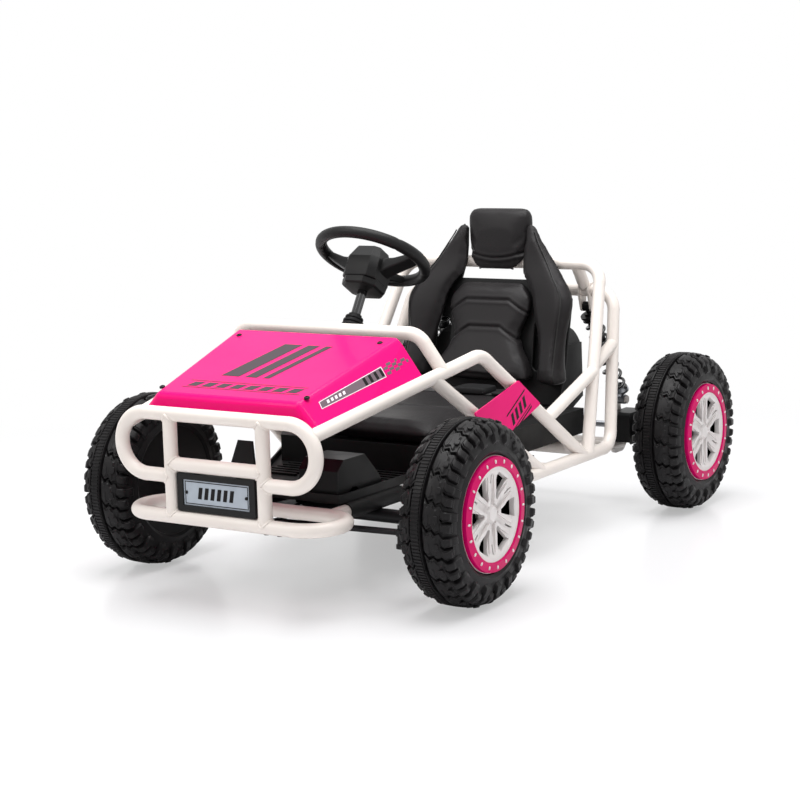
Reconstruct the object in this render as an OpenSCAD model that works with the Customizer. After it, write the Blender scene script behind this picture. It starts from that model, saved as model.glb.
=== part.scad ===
/* [Overall] */
// Distance between the front and the rear axle
wheelbase = 780; // [740:5:860]
// Distance between the middle planes of a left and a right tyre
track = 618; // [600:2:650]
// Outer radius of the tyres
tyre_r = 145; // [138:1:152]
// Width of a tyre across its shoulders
tyre_w = 100; // [88:1:108]

/* [Frame tube] */
// Outer diameter of the frame tubes
tube_od = 22; // [18:0.5:25]
// Bend radius of the frame tubes, on the tube's middle line
bend_r = 42; // [34:1:50]
// Gap left at each welded joint
weld_gap = 0.2; // [0.1:0.05:0.4]

/* [Bumper] */
// Bumper plane in front of the front axle
bumper_ahead = 219; // [205:1:240]
// Half width of the bumper loop, to the tube's middle line
loop_half = 184; // [170:1:200]
// Height of the loop's upper tube
loop_top = 303; // [290:1:315]
// Height of the loop's lower tube
loop_low = 207; // [195:1:215]
// Half distance between the bumper posts
post_half = 88; // [80:1:96]
// Height of the bar between the posts
crossbar_z = 226; // [220:1:240]
// Half width of the lower hoop
hoop_half = 187; // [175:1:195]
// Depth of the lower hoop, front to back
hoop_depth = 104; // [96:1:112]

/* [Chassis rails] */
// Height of the lower rails
rail_z = 144; // [138:1:152]
// Half distance between the lower rails at the pedals
rail_front_half = 135; // [125:1:145]
// Half distance between the lower rails at the seat
sill_half = 256; // [246:1:264]
// Start of the outward run of the lower rail, behind the front axle
neck_back = 87; // [75:1:100]
// End of the outward run of the lower rail, behind the front axle
sill_back = 295; // [285:1:310]
// Half distance between the upper rails at the dash
upper_half = 212; // [205:1:218]
// Height of the upper rails at the dash
upper_z = 337; // [328:1:345]
// Half distance between the upper rails at their highest point
crest_half = 222; // [216:1:230]
// Highest point of the upper rails
crest_z = 357; // [348:1:370]
// Highest point of the upper rails, behind the front axle
crest_back = 190; // [175:1:205]
// Foot of the upper rail on the lower rail, ahead of the rear axle
crest_foot = 302; // [290:1:320]
// Start of the second strut, behind the front axle
strut_back = 65; // [50:1:75]
// Foot of the second strut, behind the front axle
strut_foot = 325; // [318:1:345]
// Length of the black sleeve on each lower rail
sleeve_len = 152; // [120:1:160]
// Wall of the rail sleeves
sleeve_wall = 2; // [1.5:0.25:3]

/* [Hoops] */
// Foot of the main hoop, ahead of the rear axle
main_foot = 287; // [275:1:295]
// Top of the main hoop, ahead of the rear axle
main_back = 131; // [120:1:145]
// Height of the main hoop
main_z = 462; // [445:1:480]
// Half width of the main hoop at its top
main_half = 207; // [200:1:214]
// Foot of the rear hoop, ahead of the rear axle
rear_foot = 199; // [190:1:210]
// Top of the rear hoop, ahead of the rear axle
rear_back = 93; // [84:1:102]
// Height of the rear hoop
rear_z = 410; // [395:1:425]
// Half width of the rear hoop at its top
rear_half = 214; // [207:1:220]
// Half distance between the ties of the two hoops
tie_half = 157; // [145:1:165]
// Dash hoop behind the front axle
dash_back = 85; // [78:1:95]
// Height of the dash hoop
dash_z = 401; // [390:1:412]
// Half width of the dash hoop at its top
dash_half = 172; // [164:1:178]

/* [Steering] */
// Steering wheel centre behind the front axle
helm_back = 220; // [205:1:235]
// Height of the steering wheel's centre
helm_z = 507; // [490:1:525]
// Slope of the column away from upright
helm_tilt = 32; // [30:0.5:34]
// Outer diameter of the steering wheel
helm_od = 200; // [180:1:230]
// Thickness of the steering wheel's rim
helm_rim = 20; // [16:0.5:24]
// Diameter of the column
column_od = 16; // [14:0.5:18]
// Distance from a king pin to the middle plane of its tyre
king_inset = 81; // [77:1:87]
// Radius of the king pins
king_r = 6; // [5:0.25:7]
// Tie rod pin on each knuckle, ahead of the front axle
arm_len = 65; // [58:1:70]
// Reach of the pitman plate from the column's middle line
pitman_len = 52; // [46:1:56]
// Height of the tie rods
tie_z = 118; // [114:0.5:121]
// Diameter of the tie rods
tie_rod_od = 10; // [8:0.5:12]
// Running clearance of shafts and pins, on the radius
run_gap = 0.05; // [0.03:0.01:0.08]
// Gap between faces that move past each other
side_gap = 0.6; // [0.4:0.1:1]
// Play of the tie rod eye on the pitman bolt, on the radius
eye_play = 3.5; // [3:0.1:4]

/* [Rear suspension] */
// Swing arm pivot ahead of the rear axle
swing_ahead = 205; // [198:1:212]
// Height of the swing arm tubes below the axle
arm_drop = 35; // [32:1:38]
// Half distance between the shocks' upper eyes
shock_top_half = 158; // [150:1:164]
// Upper eyes of the shocks ahead of the rear axle
shock_top_ahead = 90; // [84:1:96]
// Height of the shocks' upper eyes
shock_top_z = 380; // [372:1:386]
// Half distance between the shocks' lower eyes
shock_low_half = 187; // [182:1:192]
// Lower eyes of the shocks ahead of the rear axle
shock_low_ahead = 10; // [5:1:20]
// Height of the shocks' lower eyes above the axle
shock_low_up = 52; // [50:1:58]
// Outer diameter of the shock springs
coil_od = 36; // [32:1:40]
// Diameter of the spring wire
coil_wire = 6; // [5:0.25:7]
// Turns of each spring
coil_turns = 9; // [6:1:10]
// Radius of the rear axle rod
axle_r = 6; // [5:0.25:7]

/* [Wheels] */
// Outer radius of the pink trim ring
ring_r = 89; // [84:0.5:92]
// Inner radius of the pink trim ring
ring_in = 73; // [70:0.5:76]
// Spokes of each wheel
spokes = 6; // [5:1:7]
// Tread blocks on each side of a tyre
lugs = 18; // [12:1:22]
// Ribs on the band round the middle of a tyre
band_ribs = 60; // [30:1:80]
// Studs on each trim ring
ring_studs = 20; // [10:1:24]

/* [Hood] */
// Half width of the hood's top at its front edge
hood_front_half = 142; // [130:1:150]
// Half width of the hood's top at its rear edge
hood_rear_half = 165; // [155:1:172]
// Height of the hood's top at its front edge
hood_front_z = 332; // [328:1:340]
// Height of the hood's top at its rear edge
hood_rear_z = 398; // [388:1:404]
// Wall of the hood
hood_wall = 3; // [2:0.5:4]

/* [Seat] */
// Slope of the seat back away from upright
seat_tilt = 10; // [9.5:0.1:10]
// Height of the seat box top
seat_box_top = 207; // [200:1:212]
// Thickness of the seat's base cushion
seat_pad = 34; // [30:1:40]
// Half width of the seat's base cushion
seat_half = 165; // [155:1:172]
// Front edge of the seat ahead of the rear axle
seat_front = 640; // [620:5:660]
// Back of the seat shell at its foot, ahead of the rear axle
seat_back_foot = 187.5; // [187.5:0.5:196]
// Half width of the head pad
head_half = 63; // [55:1:66]
// Top of the head pad
head_top = 563; // [550:1:575]
// Half width of the bolsters at the shoulders
shoulder_half = 178; // [168:1:184]

/* [Footwell] */
// Thickness of the floor pan
floor_t = 4; // [3:0.5:5]
// Ribs on each foot area
foot_ribs = 6; // [4:1:8]
// Half distance between the pedal and the middle of the kart
pedal_half = 92; // [80:1:93]
// Width of the pedal at its foot
pedal_w = 58; // [50:1:60]
// Height of the pedal
pedal_h = 60; // [50:1:64]

/* [Hidden] */
$fn = 48;
eps = 0.01;
paint_white = "#ece6df";
pink = "#ec0078";
black = "#2a2829";
seat_black = "#353434";
steel = "#8d9095";

// Places: the origin is on the ground, under the middle of the whole kart
half_tube = tube_od / 2;
y_shift = (bumper_ahead + half_tube - tyre_r) / 2;
front_y = y_shift - wheelbase / 2;
rear_y = y_shift + wheelbase / 2;
function front(x, back, z) = [x, front_y + back, z];
function rear(x, ahead, z) = [x, rear_y - ahead, z];
function unit(v) = v / norm(v);
function mid(a, b, t) = a + t * (b - a);
function flip(p) = [-p[0], p[1], p[2]];
function mirrored(path) = [for (i = [len(path) - 1:-1:0]) flip(path[i])];

bumper_y = front_y - bumper_ahead;
king_half = track / 2 - king_inset;
hoop_back_y = bumper_y + hoop_depth;
rail_foot_y = rear_y - rear_foot;

// Paths of the tubes on the left side
main_foot_p = rear(sill_half, main_foot, rail_z);
main_top_p = rear(main_half, main_back, main_z);
rear_foot_p = rear(sill_half, rear_foot, rail_z);
rear_top_p = rear(rear_half, rear_back, rear_z);
rail_split = mid(rear_foot_p, rear_top_p, 0.2);
crest_p = front(crest_half, crest_back, crest_z);
crest_foot_p = rear(sill_half, crest_foot, rail_z);
upper_p = front(upper_half, strut_back, upper_z);
loop_corner = min(48, (loop_top - loop_low) / 2 - eps);
upper_start = [loop_half - loop_corner * (1 - cos(38)), bumper_y,
    (loop_top + loop_low) / 2 + loop_corner * sin(38)];
upper_path = [upper_start, crest_p, crest_foot_p];
function on_upper(t) = mid(upper_start, crest_p, t);
strut_t = (strut_back + bumper_ahead) / (crest_back + bumper_ahead);
strut_path = [on_upper(strut_t), front(sill_half, strut_foot, rail_z)];
rail_path = [[rail_front_half, hoop_back_y, rail_z], front(rail_front_half, neck_back, rail_z),
    front(sill_half, sill_back, rail_z), rear_foot_p, rail_split];
rear_path = [rail_split, rear_top_p, flip(rear_top_p), flip(rail_split)];
main_path = [main_foot_p, main_top_p, flip(main_top_p), flip(main_foot_p)];
loop_path = [[post_half, bumper_y, loop_low], [loop_half, bumper_y, loop_low], [loop_half, bumper_y, loop_top],
    [-loop_half, bumper_y, loop_top], [-loop_half, bumper_y, loop_low], [-post_half, bumper_y, loop_low]];
dash_top_p = front(dash_half, dash_back, dash_z);
dash_foot_t = (dash_back + 9 + bumper_ahead) / (crest_back + bumper_ahead);
dash_path = [on_upper(dash_foot_t), dash_top_p, flip(dash_top_p), flip(on_upper(dash_foot_t))];
hoop_z = rail_z;

// A bend is a little thicker than its runs, and each run reaches a little way into it
bend_swell = 0.4;
bend_lap = 0.5;

// Turn between the two runs that meet at b, and how far the bend reaches along each of them
function turn(a, b, c) = acos(max(-1, min(1, unit(b - a) * unit(c - b))));
function reach(a, b, c, r) = r * tan(turn(a, b, c) / 2);

module rod(a, b, d) {
    v = b - a;
    translate(a)
        rotate([0, acos(v[2] / norm(v)), atan2(v[1], v[0])])
            cylinder(h = norm(v), d = d);
}

module bend(a, b, c, r, d) {
    u = unit(b - a);
    w = unit(c - b);
    ez = unit(cross(u, w));
    start = b - u * reach(a, b, c, r);
    ex = cross(u, ez);
    hub = start - ex * r;
    multmatrix([[ex[0], u[0], ez[0], hub[0]], [ex[1], u[1], ez[1], hub[1]],
        [ex[2], u[2], ez[2], hub[2]], [0, 0, 0, 1]])
        rotate_extrude(angle = turn(a, b, c))
            translate([r, 0])
                circle(d = d + bend_swell);
}

// A round tube along a path, bent with radius r at each inner point
module bent_tube(path, r, d) {
    n = len(path);
    cut = [for (i = [0:n - 1]) i == 0 || i == n - 1 ? 0 : reach(path[i - 1], path[i], path[i + 1], r)];
    for (i = [0:n - 2]) {
        u = unit(path[i + 1] - path[i]);
        lap_a = i == 0 ? 0 : bend_lap;
        lap_b = i == n - 2 ? 0 : bend_lap;
        rod(path[i] + u * (cut[i] - lap_a), path[i + 1] - u * (cut[i + 1] - lap_b), d);
    }
    for (i = [1:n - 2]) bend(path[i - 1], path[i], path[i + 1], r, d);
}

module both() {
    children();
    mirror([1, 0, 0]) children();
}

// The cutter that copes a tube against a neighbour
cope_d = tube_od + 2 * weld_gap;

module lower_hoop_tube(d) {
    r = hoop_depth / 2;
    x = hoop_half - r;
    translate([0, bumper_y + r, hoop_z]) {
        for (s = [-1, 1]) {
            translate([-x - bend_lap, s * r, 0]) rotate([0, 90, 0]) cylinder(h = 2 * (x + bend_lap), d = d);
            translate([s * x, 0, 0])
                rotate([0, 0, s > 0 ? -90 : 90])
                    rotate_extrude(angle = 180)
                        translate([r, 0]) circle(d = d + bend_swell);
        }
    }
}

module post(d) {
    rod([post_half, bumper_y, hoop_z], [post_half, bumper_y, loop_top], d);
}

module bumper_loop() {
    color(paint_white)
        difference() {
            bent_tube(loop_path, loop_corner, tube_od);
            both() translate([post_half, bumper_y, loop_low - tube_od]) cylinder(h = 2 * tube_od, d = cope_d);
        }
}

module bumper_posts() {
    color(paint_white)
        both() difference() {
            post(tube_od);
            rod([0, bumper_y, loop_top], [loop_half - loop_corner, bumper_y, loop_top], cope_d);
            lower_hoop_tube(cope_d);
        }
}

module bumper_crossbar() {
    color(paint_white)
        difference() {
            rod([-post_half, bumper_y, crossbar_z], [post_half, bumper_y, crossbar_z], tube_od);
            both() post(cope_d);
        }
}

module lower_hoop() {
    color(paint_white) lower_hoop_tube(tube_od);
}

module side_rails() {
    color(paint_white)
        both() difference() {
            bent_tube(upper_path, bend_r, tube_od);
            bent_tube(loop_path, loop_corner, cope_d);
            bent_tube(rail_path, bend_r, cope_d);
        }
}

module side_struts() {
    color(paint_white)
        both() difference() {
            bent_tube(strut_path, bend_r, tube_od);
            bent_tube(upper_path, bend_r, cope_d);
            bent_tube(rail_path, bend_r, cope_d);
        }
}

module lower_rails() {
    color(paint_white)
        both() difference() {
            bent_tube(rail_path, bend_r, tube_od);
            lower_hoop_tube(cope_d);
        }
}

module main_hoop() {
    color(paint_white)
        difference() {
            bent_tube(main_path, bend_r, tube_od);
            both() bent_tube(rail_path, bend_r, cope_d);
        }
}

module rear_hoop() {
    gap = weld_gap * unit(rear_top_p - rear_foot_p);
    lift = rail_split + gap;
    color(paint_white)
        bent_tube([lift, rear_top_p, flip(rear_top_p), flip(lift)], bend_r, tube_od);
}

// Hangers of the shocks: two plates round the rear hoop, with the pin for the upper eye between them
hanger_t = 4;
eye_w = 14;
eye_r = 9;
shock_pin_r = 4;
shock_top_p = rear(shock_top_half, shock_top_ahead, shock_top_z);
shock_low_p = rear(shock_low_half, shock_low_ahead, tyre_r + shock_low_up);
eye_shift = 3.6;
module hanger() {
    top = [rear_back, rear_z];
    for (s = [-1, 1])
        translate([shock_top_half + s * (eye_w / 2 + side_gap + hanger_t / 2) - hanger_t / 2, rear_y, 0])
            rotate([90, 0, 90])
                linear_extrude(hanger_t)
                    difference() {
                        hull() {
                            translate([-rear_back, rear_z]) circle(r = half_tube + 4);
                            translate([-shock_top_ahead, shock_top_z]) circle(r = eye_r);
                        }
                        translate([-rear_back, rear_z]) circle(r = half_tube + weld_gap);
                    }
    translate([shock_top_half - eye_w / 2 - side_gap - hanger_t, shock_top_p[1], shock_top_z])
        rotate([0, 90, 0])
            cylinder(h = eye_w + 2 * (side_gap + hanger_t), r = shock_pin_r);
}

module hoop_ties() {
    color(paint_white)
        both() {
            difference() {
                rod(rear(tie_half, main_back, main_z), rear(tie_half, rear_back, rear_z), tube_od);
                bent_tube(main_path, bend_r, cope_d);
                bent_tube(rear_path, bend_r, cope_d + 2 * 4 + 4 * weld_gap);
            }
            hanger();
        }
}

module frame_braces() {
    main_t = (288 - rail_z) / (main_z - rail_z);
    color(paint_white)
        both() difference() {
            union() {
                rod(mid(main_foot_p, main_top_p, main_t), mid(rear_foot_p, rear_top_p, 0.66), tube_od);
                rod(mid(main_foot_p, main_top_p, main_t - 0.02), mid(crest_p, crest_foot_p, 0.62), tube_od);
            }
            bent_tube(main_path, bend_r, cope_d);
            bent_tube(rear_path, bend_r, cope_d);
            bent_tube(upper_path, bend_r, cope_d);
        }
}

// The column's middle line: distances are measured down from the steering wheel's centre
helm_p = front(0, helm_back, helm_z);
down = [0, -sin(helm_tilt), -cos(helm_tilt)];
function on_column(z) = helm_p + down * (helm_z - z) / cos(helm_tilt);
boot_z = 401;
upper_bush_z = 384;
lower_bush_z = 160;
pitman_z = tie_z + 16;
module along_column(z, h, r) {
    translate(on_column(z)) rotate([180 - helm_tilt, 0, 0]) translate([0, 0, -h / 2]) cylinder(h = h, r = r);
}

bush_wall = 5;
bush_len = 22;
module dash_hoop() {
    bush = on_column(upper_bush_z);
    color(paint_white)
        difference() {
            union() {
                bent_tube(dash_path, 34, tube_od);
                along_column(upper_bush_z, bush_len, column_od / 2 + bush_wall);
                translate([-4, front_y + dash_back, upper_bush_z - 10])
                    cube([8, bush[1] - front_y - dash_back, 20]);
            }
            along_column(upper_bush_z, bush_len + 20, column_od / 2 + run_gap);
            both() bent_tube(upper_path, bend_r, cope_d);
        }
}

// Front beam: tube, king pin sleeves and the lower bush of the column
beam_z = rail_z - tube_od - weld_gap;
beam_back = 10;
king_sleeve_r = 13;
king_low = 100;
king_high = 160;
module front_beam() {
    bush = on_column(lower_bush_z);
    color(paint_white)
        difference() {
            union() {
                rod(front(-king_half, beam_back, beam_z), front(king_half, beam_back, beam_z), tube_od);
                for (s = [-1, 1])
                    translate(front(s * king_half, 0, king_low)) cylinder(h = king_high - king_low, r = king_sleeve_r);
                along_column(lower_bush_z, bush_len, column_od / 2 + bush_wall);
                translate([-5, front_y + beam_back - 4, beam_z])
                    cube([10, 8, lower_bush_z - beam_z]);
            }
            along_column(lower_bush_z, bush_len + 40, column_od / 2 + run_gap);
            for (s = [-1, 1])
                translate(front(s * king_half, 0, king_low - 1))
                    cylinder(h = king_high - king_low + 2, r = king_r + run_gap);
        }
}

// Cross members between the lower rails, the rear one with the swing arm pivot
mid_cross_back = 345;
rear_cross_ahead = 245;
pivot_r = 7;
pivot_half = 96;
pivot_tab = 6;
swing_p = rear(0, swing_ahead, rail_z);
module cross_members() {
    color(paint_white)
        difference() {
            union() {
                rod(front(-sill_half, mid_cross_back, rail_z), front(sill_half, mid_cross_back, rail_z), tube_od);
                rod(rear(-sill_half, rear_cross_ahead, rail_z), rear(sill_half, rear_cross_ahead, rail_z), tube_od);
                for (s = [-1, 1])
                    translate([s * (pivot_half + side_gap + pivot_tab / 2) - pivot_tab / 2, rear_y, rail_z])
                        rotate([90, 0, 90])
                            linear_extrude(pivot_tab)
                                hull() {
                                    translate([-swing_ahead, 0]) circle(r = 12);
                                    translate([-rear_cross_ahead, 0]) circle(r = 8);
                                }
                translate([-pivot_half - side_gap - pivot_tab, swing_p[1], rail_z])
                    rotate([0, 90, 0])
                        cylinder(h = 2 * (pivot_half + side_gap + pivot_tab), r = pivot_r);
            }
            both() bent_tube(rail_path, bend_r, cope_d);
        }
}

// Floor pan: a tray on the rails, with ribs where the feet rest
floor_z = rail_z + half_tube + sleeve_wall + weld_gap + 0.3;
pan_front = -92;
pan_rear = 330;
module floor_outline(inset) {
    offset(delta = -inset)
        polygon([[-134, pan_front], [134, pan_front], [137, neck_back + 4], [238, sill_back - 4],
            [246, pan_rear], [-246, pan_rear], [-238, sill_back - 4], [-137, neck_back + 4]]);
}

module floor_pan() {
    color(black)
        difference() {
          translate([0, front_y, floor_z]) {
            linear_extrude(floor_t) floor_outline(0);
            linear_extrude(floor_t + 10)
                difference() {
                    floor_outline(0);
                    floor_outline(2.5);
                    translate([-300, pan_rear - 8]) square([600, 20]);
                }
            for (s = [-1, 1], i = [0:foot_ribs - 1])
                translate([s * 84 - 36, 44 + i * 16, floor_t - 1]) cube([72, 6, 5]);
          }
          along_column(lower_bush_z, 80, column_od / 2 + bush_wall + 1.5);
          translate([-6.5, front_y + beam_back - 6, 0]) cube([13, 46, 300]);
        }
}

module foot_rest() {
    color(black)
        translate([54, front_y, floor_z + floor_t + 0.2])
            rotate([90, 0, 90])
                linear_extrude(72)
                    difference() {
                        polygon([[-84, 0], [-84, 44], [-66, 60], [-8, 60], [30, 22], [44, 0]]);
                        translate([-40, 0]) circle(r = 14);
                    }
}

// Number plate between the posts
plate_w = 2 * (post_half - half_tube) - 6;
plate_h = 58;
plate_z = (crossbar_z + hoop_z) / 2;
plate_t = 6;
module rounded(w, h, r) {
    offset(r = r) square([w - 2 * r, h - 2 * r], center = true);
}

module plate_holder() {
    color(black)
        difference() {
            translate([0, bumper_y, plate_z]) {
                rotate([90, 0, 0])
                    linear_extrude(plate_t)
                        difference() {
                            square([plate_w, plate_h], center = true);
                            square([plate_w - 22, plate_h - 18], center = true);
                        }
                translate([-plate_w / 2, -0.5, -plate_h / 2]) cube([plate_w, 3, plate_h]);
                for (s = [-1, 1])
                    translate([s * 40 - 6, 0, 0])
                        cube([12, 4, crossbar_z - plate_z]);
            }
            rod([-post_half, bumper_y, crossbar_z], [post_half, bumper_y, crossbar_z], cope_d);
        }
}

module plate_panel() {
    color("#9aa3ad")
        translate([0, bumper_y - 0.7, plate_z])
            rotate([90, 0, 0])
                linear_extrude(3)
                    square([plate_w - 22.6, plate_h - 18.6], center = true);
}

// Hood: a folded cover, open below and at the back. Its flaps lean out and end on the upper rails
fold_r = 13;
flap_out = 30;
flap_down = 32;
hood_front_y = bumper_y + 25;
hood_rear_y = front_y + dash_back - half_tube - 26;
hood_slope = (hood_rear_z - hood_front_z) / (hood_rear_y - hood_front_y);
module hood_block(grow, r) {
    hull()
        for (s = [-1, 1]) {
            in = grow - r;
            rear = hood_rear_y + 20;
            for (k = [0, 2.2]) {
                translate([s * (hood_front_half + in + k * flap_out), hood_front_y - in,
                    hood_front_z + in - k * flap_down]) sphere(r = r, $fn = 24);
                translate([s * (hood_rear_half + in + k * 1.5 * flap_out), rear,
                    hood_rear_z + in + 20 * hood_slope - k * 1.9 * flap_down]) sphere(r = r, $fn = 24);
            }
        }
}

module hood() {
    color(pink)
        difference() {
            hood_block(0, fold_r);
            hood_block(-hood_wall, fold_r - hood_wall);
            translate([-400, hood_rear_y, 0]) cube([800, 200, 600]);
            translate([-400, 0, 0])
                rotate([90, 0, 90])
                    linear_extrude(800)
                        polygon([[bumper_y - 80, 0], [bumper_y - 80, upper_start[2] + 3], [bumper_y, upper_start[2] + 3],
                            [crest_p[1], crest_z + 3], [crest_p[1], 0]]);
            both() bent_tube(upper_path, bend_r, tube_od + 0.8);
            bent_tube(loop_path, loop_corner, tube_od + 0.8);
        }
}

// Side plates: flat covers over the two sloping tubes of each side
module side_plates() {
    along = unit(crest_foot_p - crest_p);
    out = unit(cross(mid(strut_path[0], strut_path[1], 0.64) - crest_p, along));
    across = cross(out, along);
    o = crest_p + out * (half_tube + 0.4);
    len = norm(crest_foot_p - crest_p) * 0.215;
    color(pink)
        both() multmatrix([[along[0], across[0], out[0], o[0]], [along[1], across[1], out[1], o[1]],
            [along[2], across[2], out[2], o[2]], [0, 0, 0, 1]])
            linear_extrude(2.4)
                offset(r = 3) offset(delta = -3)
                    polygon([[1.3 * len, 7], [2.3 * len, 5], [1.42 * len, -88], [0.08 * len, -106]]);
}

module rail_sleeves() {
    start = hoop_back_y + half_tube + 26;
    color(black)
        both() difference() {
            rod([rail_front_half, start, rail_z], [rail_front_half, start + sleeve_len, rail_z],
                tube_od + 2 * (sleeve_wall + weld_gap));
            rod([rail_front_half, start - 1, rail_z], [rail_front_half, start + sleeve_len + 1, rail_z], cope_d);
            rod(front(0, beam_back, beam_z), front(king_half, beam_back, beam_z), cope_d);
        }
}

// Seat box on the cross members
module seat_box() {
    depth = seat_front - seat_back_foot + 4;
    low = floor_z + floor_t + 0.3;
    color(black)
        translate([0, rear_y - seat_front, low])
            linear_extrude(seat_box_top - low)
                polygon([[-150, 6], [150, 6], [196, 80], [196, depth], [-196, depth], [-196, 80]]);
}

// The seat's back plane
function back_y(z) = rear_y - seat_back_foot + (z - seat_box_top) * tan(seat_tilt);
shell_t = 6;

// The face that the padding lies on, in front of the shell
function face_y(z) = back_y(z) - shell_t / cos(seat_tilt) - 0.6;

module seat_outline() {
    polygon([[-150, 0], [150, 0], [168, 60], [170, 195], [120, 275], [84, 325], [78, 340], [64.5, 340],
        [64.5, 272], [-64.5, 272], [-64.5, 340], [-78, 340], [-84, 325], [-120, 275], [-170, 195], [-168, 60]]);
}

module seat_shell() {
    color(seat_black)
        translate([0, back_y(seat_box_top), seat_box_top + 0.3])
            rotate([90 - seat_tilt, 0, 0])
                linear_extrude(shell_t)
                    difference() {
                        seat_outline();
                        translate([0, 238]) offset(r = 8) square([150 - 16, 20 - 16], center = true);
                        both() translate([104, 108]) offset(r = 8) square([14, 76], center = true);
                    }
}

// A closed solid through rings of points: each ring has m points, and both ends are closed by a middle point
module loft(rings) {
    n = len(rings);
    m = len(rings[0]);
    function centre(ring) = [for (k = [0:2]) sum([for (p = ring) p[k]]) / m];
    pts = concat([for (ring = rings) each ring], [centre(rings[0]), centre(rings[n - 1])]);
    sides = [for (i = [0:n - 2], j = [0:m - 1])
        let (a = i * m + j, b = i * m + (j + 1) % m)
            each [[a, b, b + m], [a, b + m, a + m]]];
    caps = [for (j = [0:m - 1]) let (k = (j + 1) % m)
        each [[n * m, k, j], [n * m + 1, (n - 1) * m + j, (n - 1) * m + k]]];
    polyhedron(points = pts, faces = concat(sides, caps));
}

function sum(v, i = 0) = i == len(v) ? 0 : v[i] + sum(v, i + 1);
function signed_pow(v, e) = sign(v) * pow(abs(v), e);

// One point of a superellipse with half sizes a and b
function super(a, b, angle, e) = [a * signed_pow(cos(angle), 2 / e), b * signed_pow(sin(angle), 2 / e)];
function groove(s, at, width) = exp(-pow((s - at) / width, 2));

// Seat cushion: lofted from front to back, crowned, its sides drawn in between the corners
pad_rings = 22;
pad_sides = 32;
cushion_len = seat_front - 250;
function cushion_ring(i) =
    let (t = i / (pad_rings - 1),
        end = sin(180 * pow(t, 0.9)),
        fill = pow(max(end, 0.0), 0.25),
        half = (seat_half - 22 * t - 3 * sin(180 * t)) * (0.8 + 0.2 * fill),
        tall = seat_pad / 2 * max(fill, 0.2))
    [for (j = [0:pad_sides - 1])
        let (angle = -360 * j / pad_sides,
            q = super(half, tall, angle, 3.2),
            crown = q[1] > 0 ? 4 * cos(90 * q[0] / half) : 0,
            dip = q[1] > 0 ? 5 * (groove(t * cushion_len, 300 - 0.0006 * q[0] * q[0], 6)
                + groove(t * cushion_len, 150, 6)) : 0)
        [q[0], rear_y - seat_front + t * cushion_len, seat_box_top + 0.6 + seat_pad / 2 + q[1] + crown - dip]];

module seat_cushion() {
    color(seat_black) loft([for (i = [0:pad_rings - 1]) cushion_ring(i)]);
}

// Back cushion: narrow at its top and waist, two arched channels across it
back_low = seat_box_top + seat_pad + 6;
back_high = 428;
function back_half(z) = lookup(z, [[230, 104], [255, 104], [285, 96], [310, 80], [335, 71], [360, 80],
    [385, 89], [405, 84], [428, 66]]);
function back_thick(z) = lookup(z, [[230, 56], [269, 50], [307, 38], [346, 29], [396, 21], [428, 14]]);
function back_ring(i) =
    let (t = i / (pad_rings - 1),
        z = back_low + t * (back_high - back_low),
        fill = pow(sin(180 * (0.04 + 0.92 * t)), 0.22),
        half = back_half(z) * (0.85 + 0.15 * fill),
        thick = back_thick(z) / 2 * fill)
    [for (j = [0:pad_sides - 1])
        let (angle = 360 * j / pad_sides,
            q = super(half, thick, angle, 3),
            arch = 18 * pow(abs(q[0]) / 80, 2),
            dip = q[1] < 0 ? 4 * (groove(z, 395 - arch, 4.5) + groove(z, 346 - arch, 4.5)) : 0)
        [q[0], face_y(z) - back_thick(z) / 2 + q[1] + dip, z]];

module back_cushion() {
    color(seat_black) loft([for (i = [0:pad_rings - 1]) back_ring(i)]);
}

// Bolsters: padded sides from the hip to the head pad
bolster_path = [[150, 246, 34, 36], [153, 262, 33, 43], [150, 290, 31, 44], [148, 330, 31, 41],
    [shoulder_half - 30, 370, 31, 38], [shoulder_half - 31, 405, 31, 32], [134, 440, 30, 24],
    [112, 475, 25, 15], [94, 505, 18, 11], [81, 530, 11, 9], [77, 541, 8, 7]];
function bolster_at(k, z) = lookup(z, [for (p = bolster_path) [p[1], p[k]]]);
function bolster_ring(i) =
    let (t = i / (pad_rings - 1),
        z = bolster_path[0][1] + t * (bolster_path[len(bolster_path) - 1][1] - bolster_path[0][1]),
        fill = pow(sin(180 * (0.05 + 0.9 * t)), 0.3),
        wide = bolster_at(2, z) * fill,
        deep = bolster_at(3, z) * fill)
    [for (j = [0:pad_sides - 1])
        let (angle = 360 * j / pad_sides, q = super(wide, deep, angle, 2.6))
        [bolster_at(0, z) + q[0], face_y(z) - bolster_at(3, z) + q[1], z]];

module seat_bolsters() {
    color(seat_black) both() loft([for (i = [0:pad_rings - 1]) bolster_ring(i)]);
}

// Head pad
head_low = 476;
head_thick = 40;
function head_ring(i) =
    let (t = i / 15,
        z = head_low + t * (head_top - head_low),
        fill = pow(sin(180 * (0.04 + 0.92 * t)), 0.28),
        half = (head_half - 1.5 * sin(180 * t)) * (0.8 + 0.2 * fill),
        thick = head_thick / 2 * fill)
    [for (j = [0:pad_sides - 1])
        let (angle = 360 * j / pad_sides, q = super(half, thick, angle, 3.4))
        [q[0], rear_y - 131 + (z - 520) * 0.05 + q[1], z]];

module head_pad() {
    color(seat_black) loft([for (i = [0:15]) head_ring(i)]);
}

// Lap belt: buckle and webbing that lie on the base cushion
module lap_belt() {
    top = seat_box_top + seat_pad + 5.4;
    color(black)
        translate([0, rear_y - 330, top]) {
            translate([-130, -20, 0]) cube([260, 40, 2]);
            translate([24, -26, 2]) cube([66, 52, 12]);
            translate([100, -24, 2]) cube([24, 48, 6]);
        }
}

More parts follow.
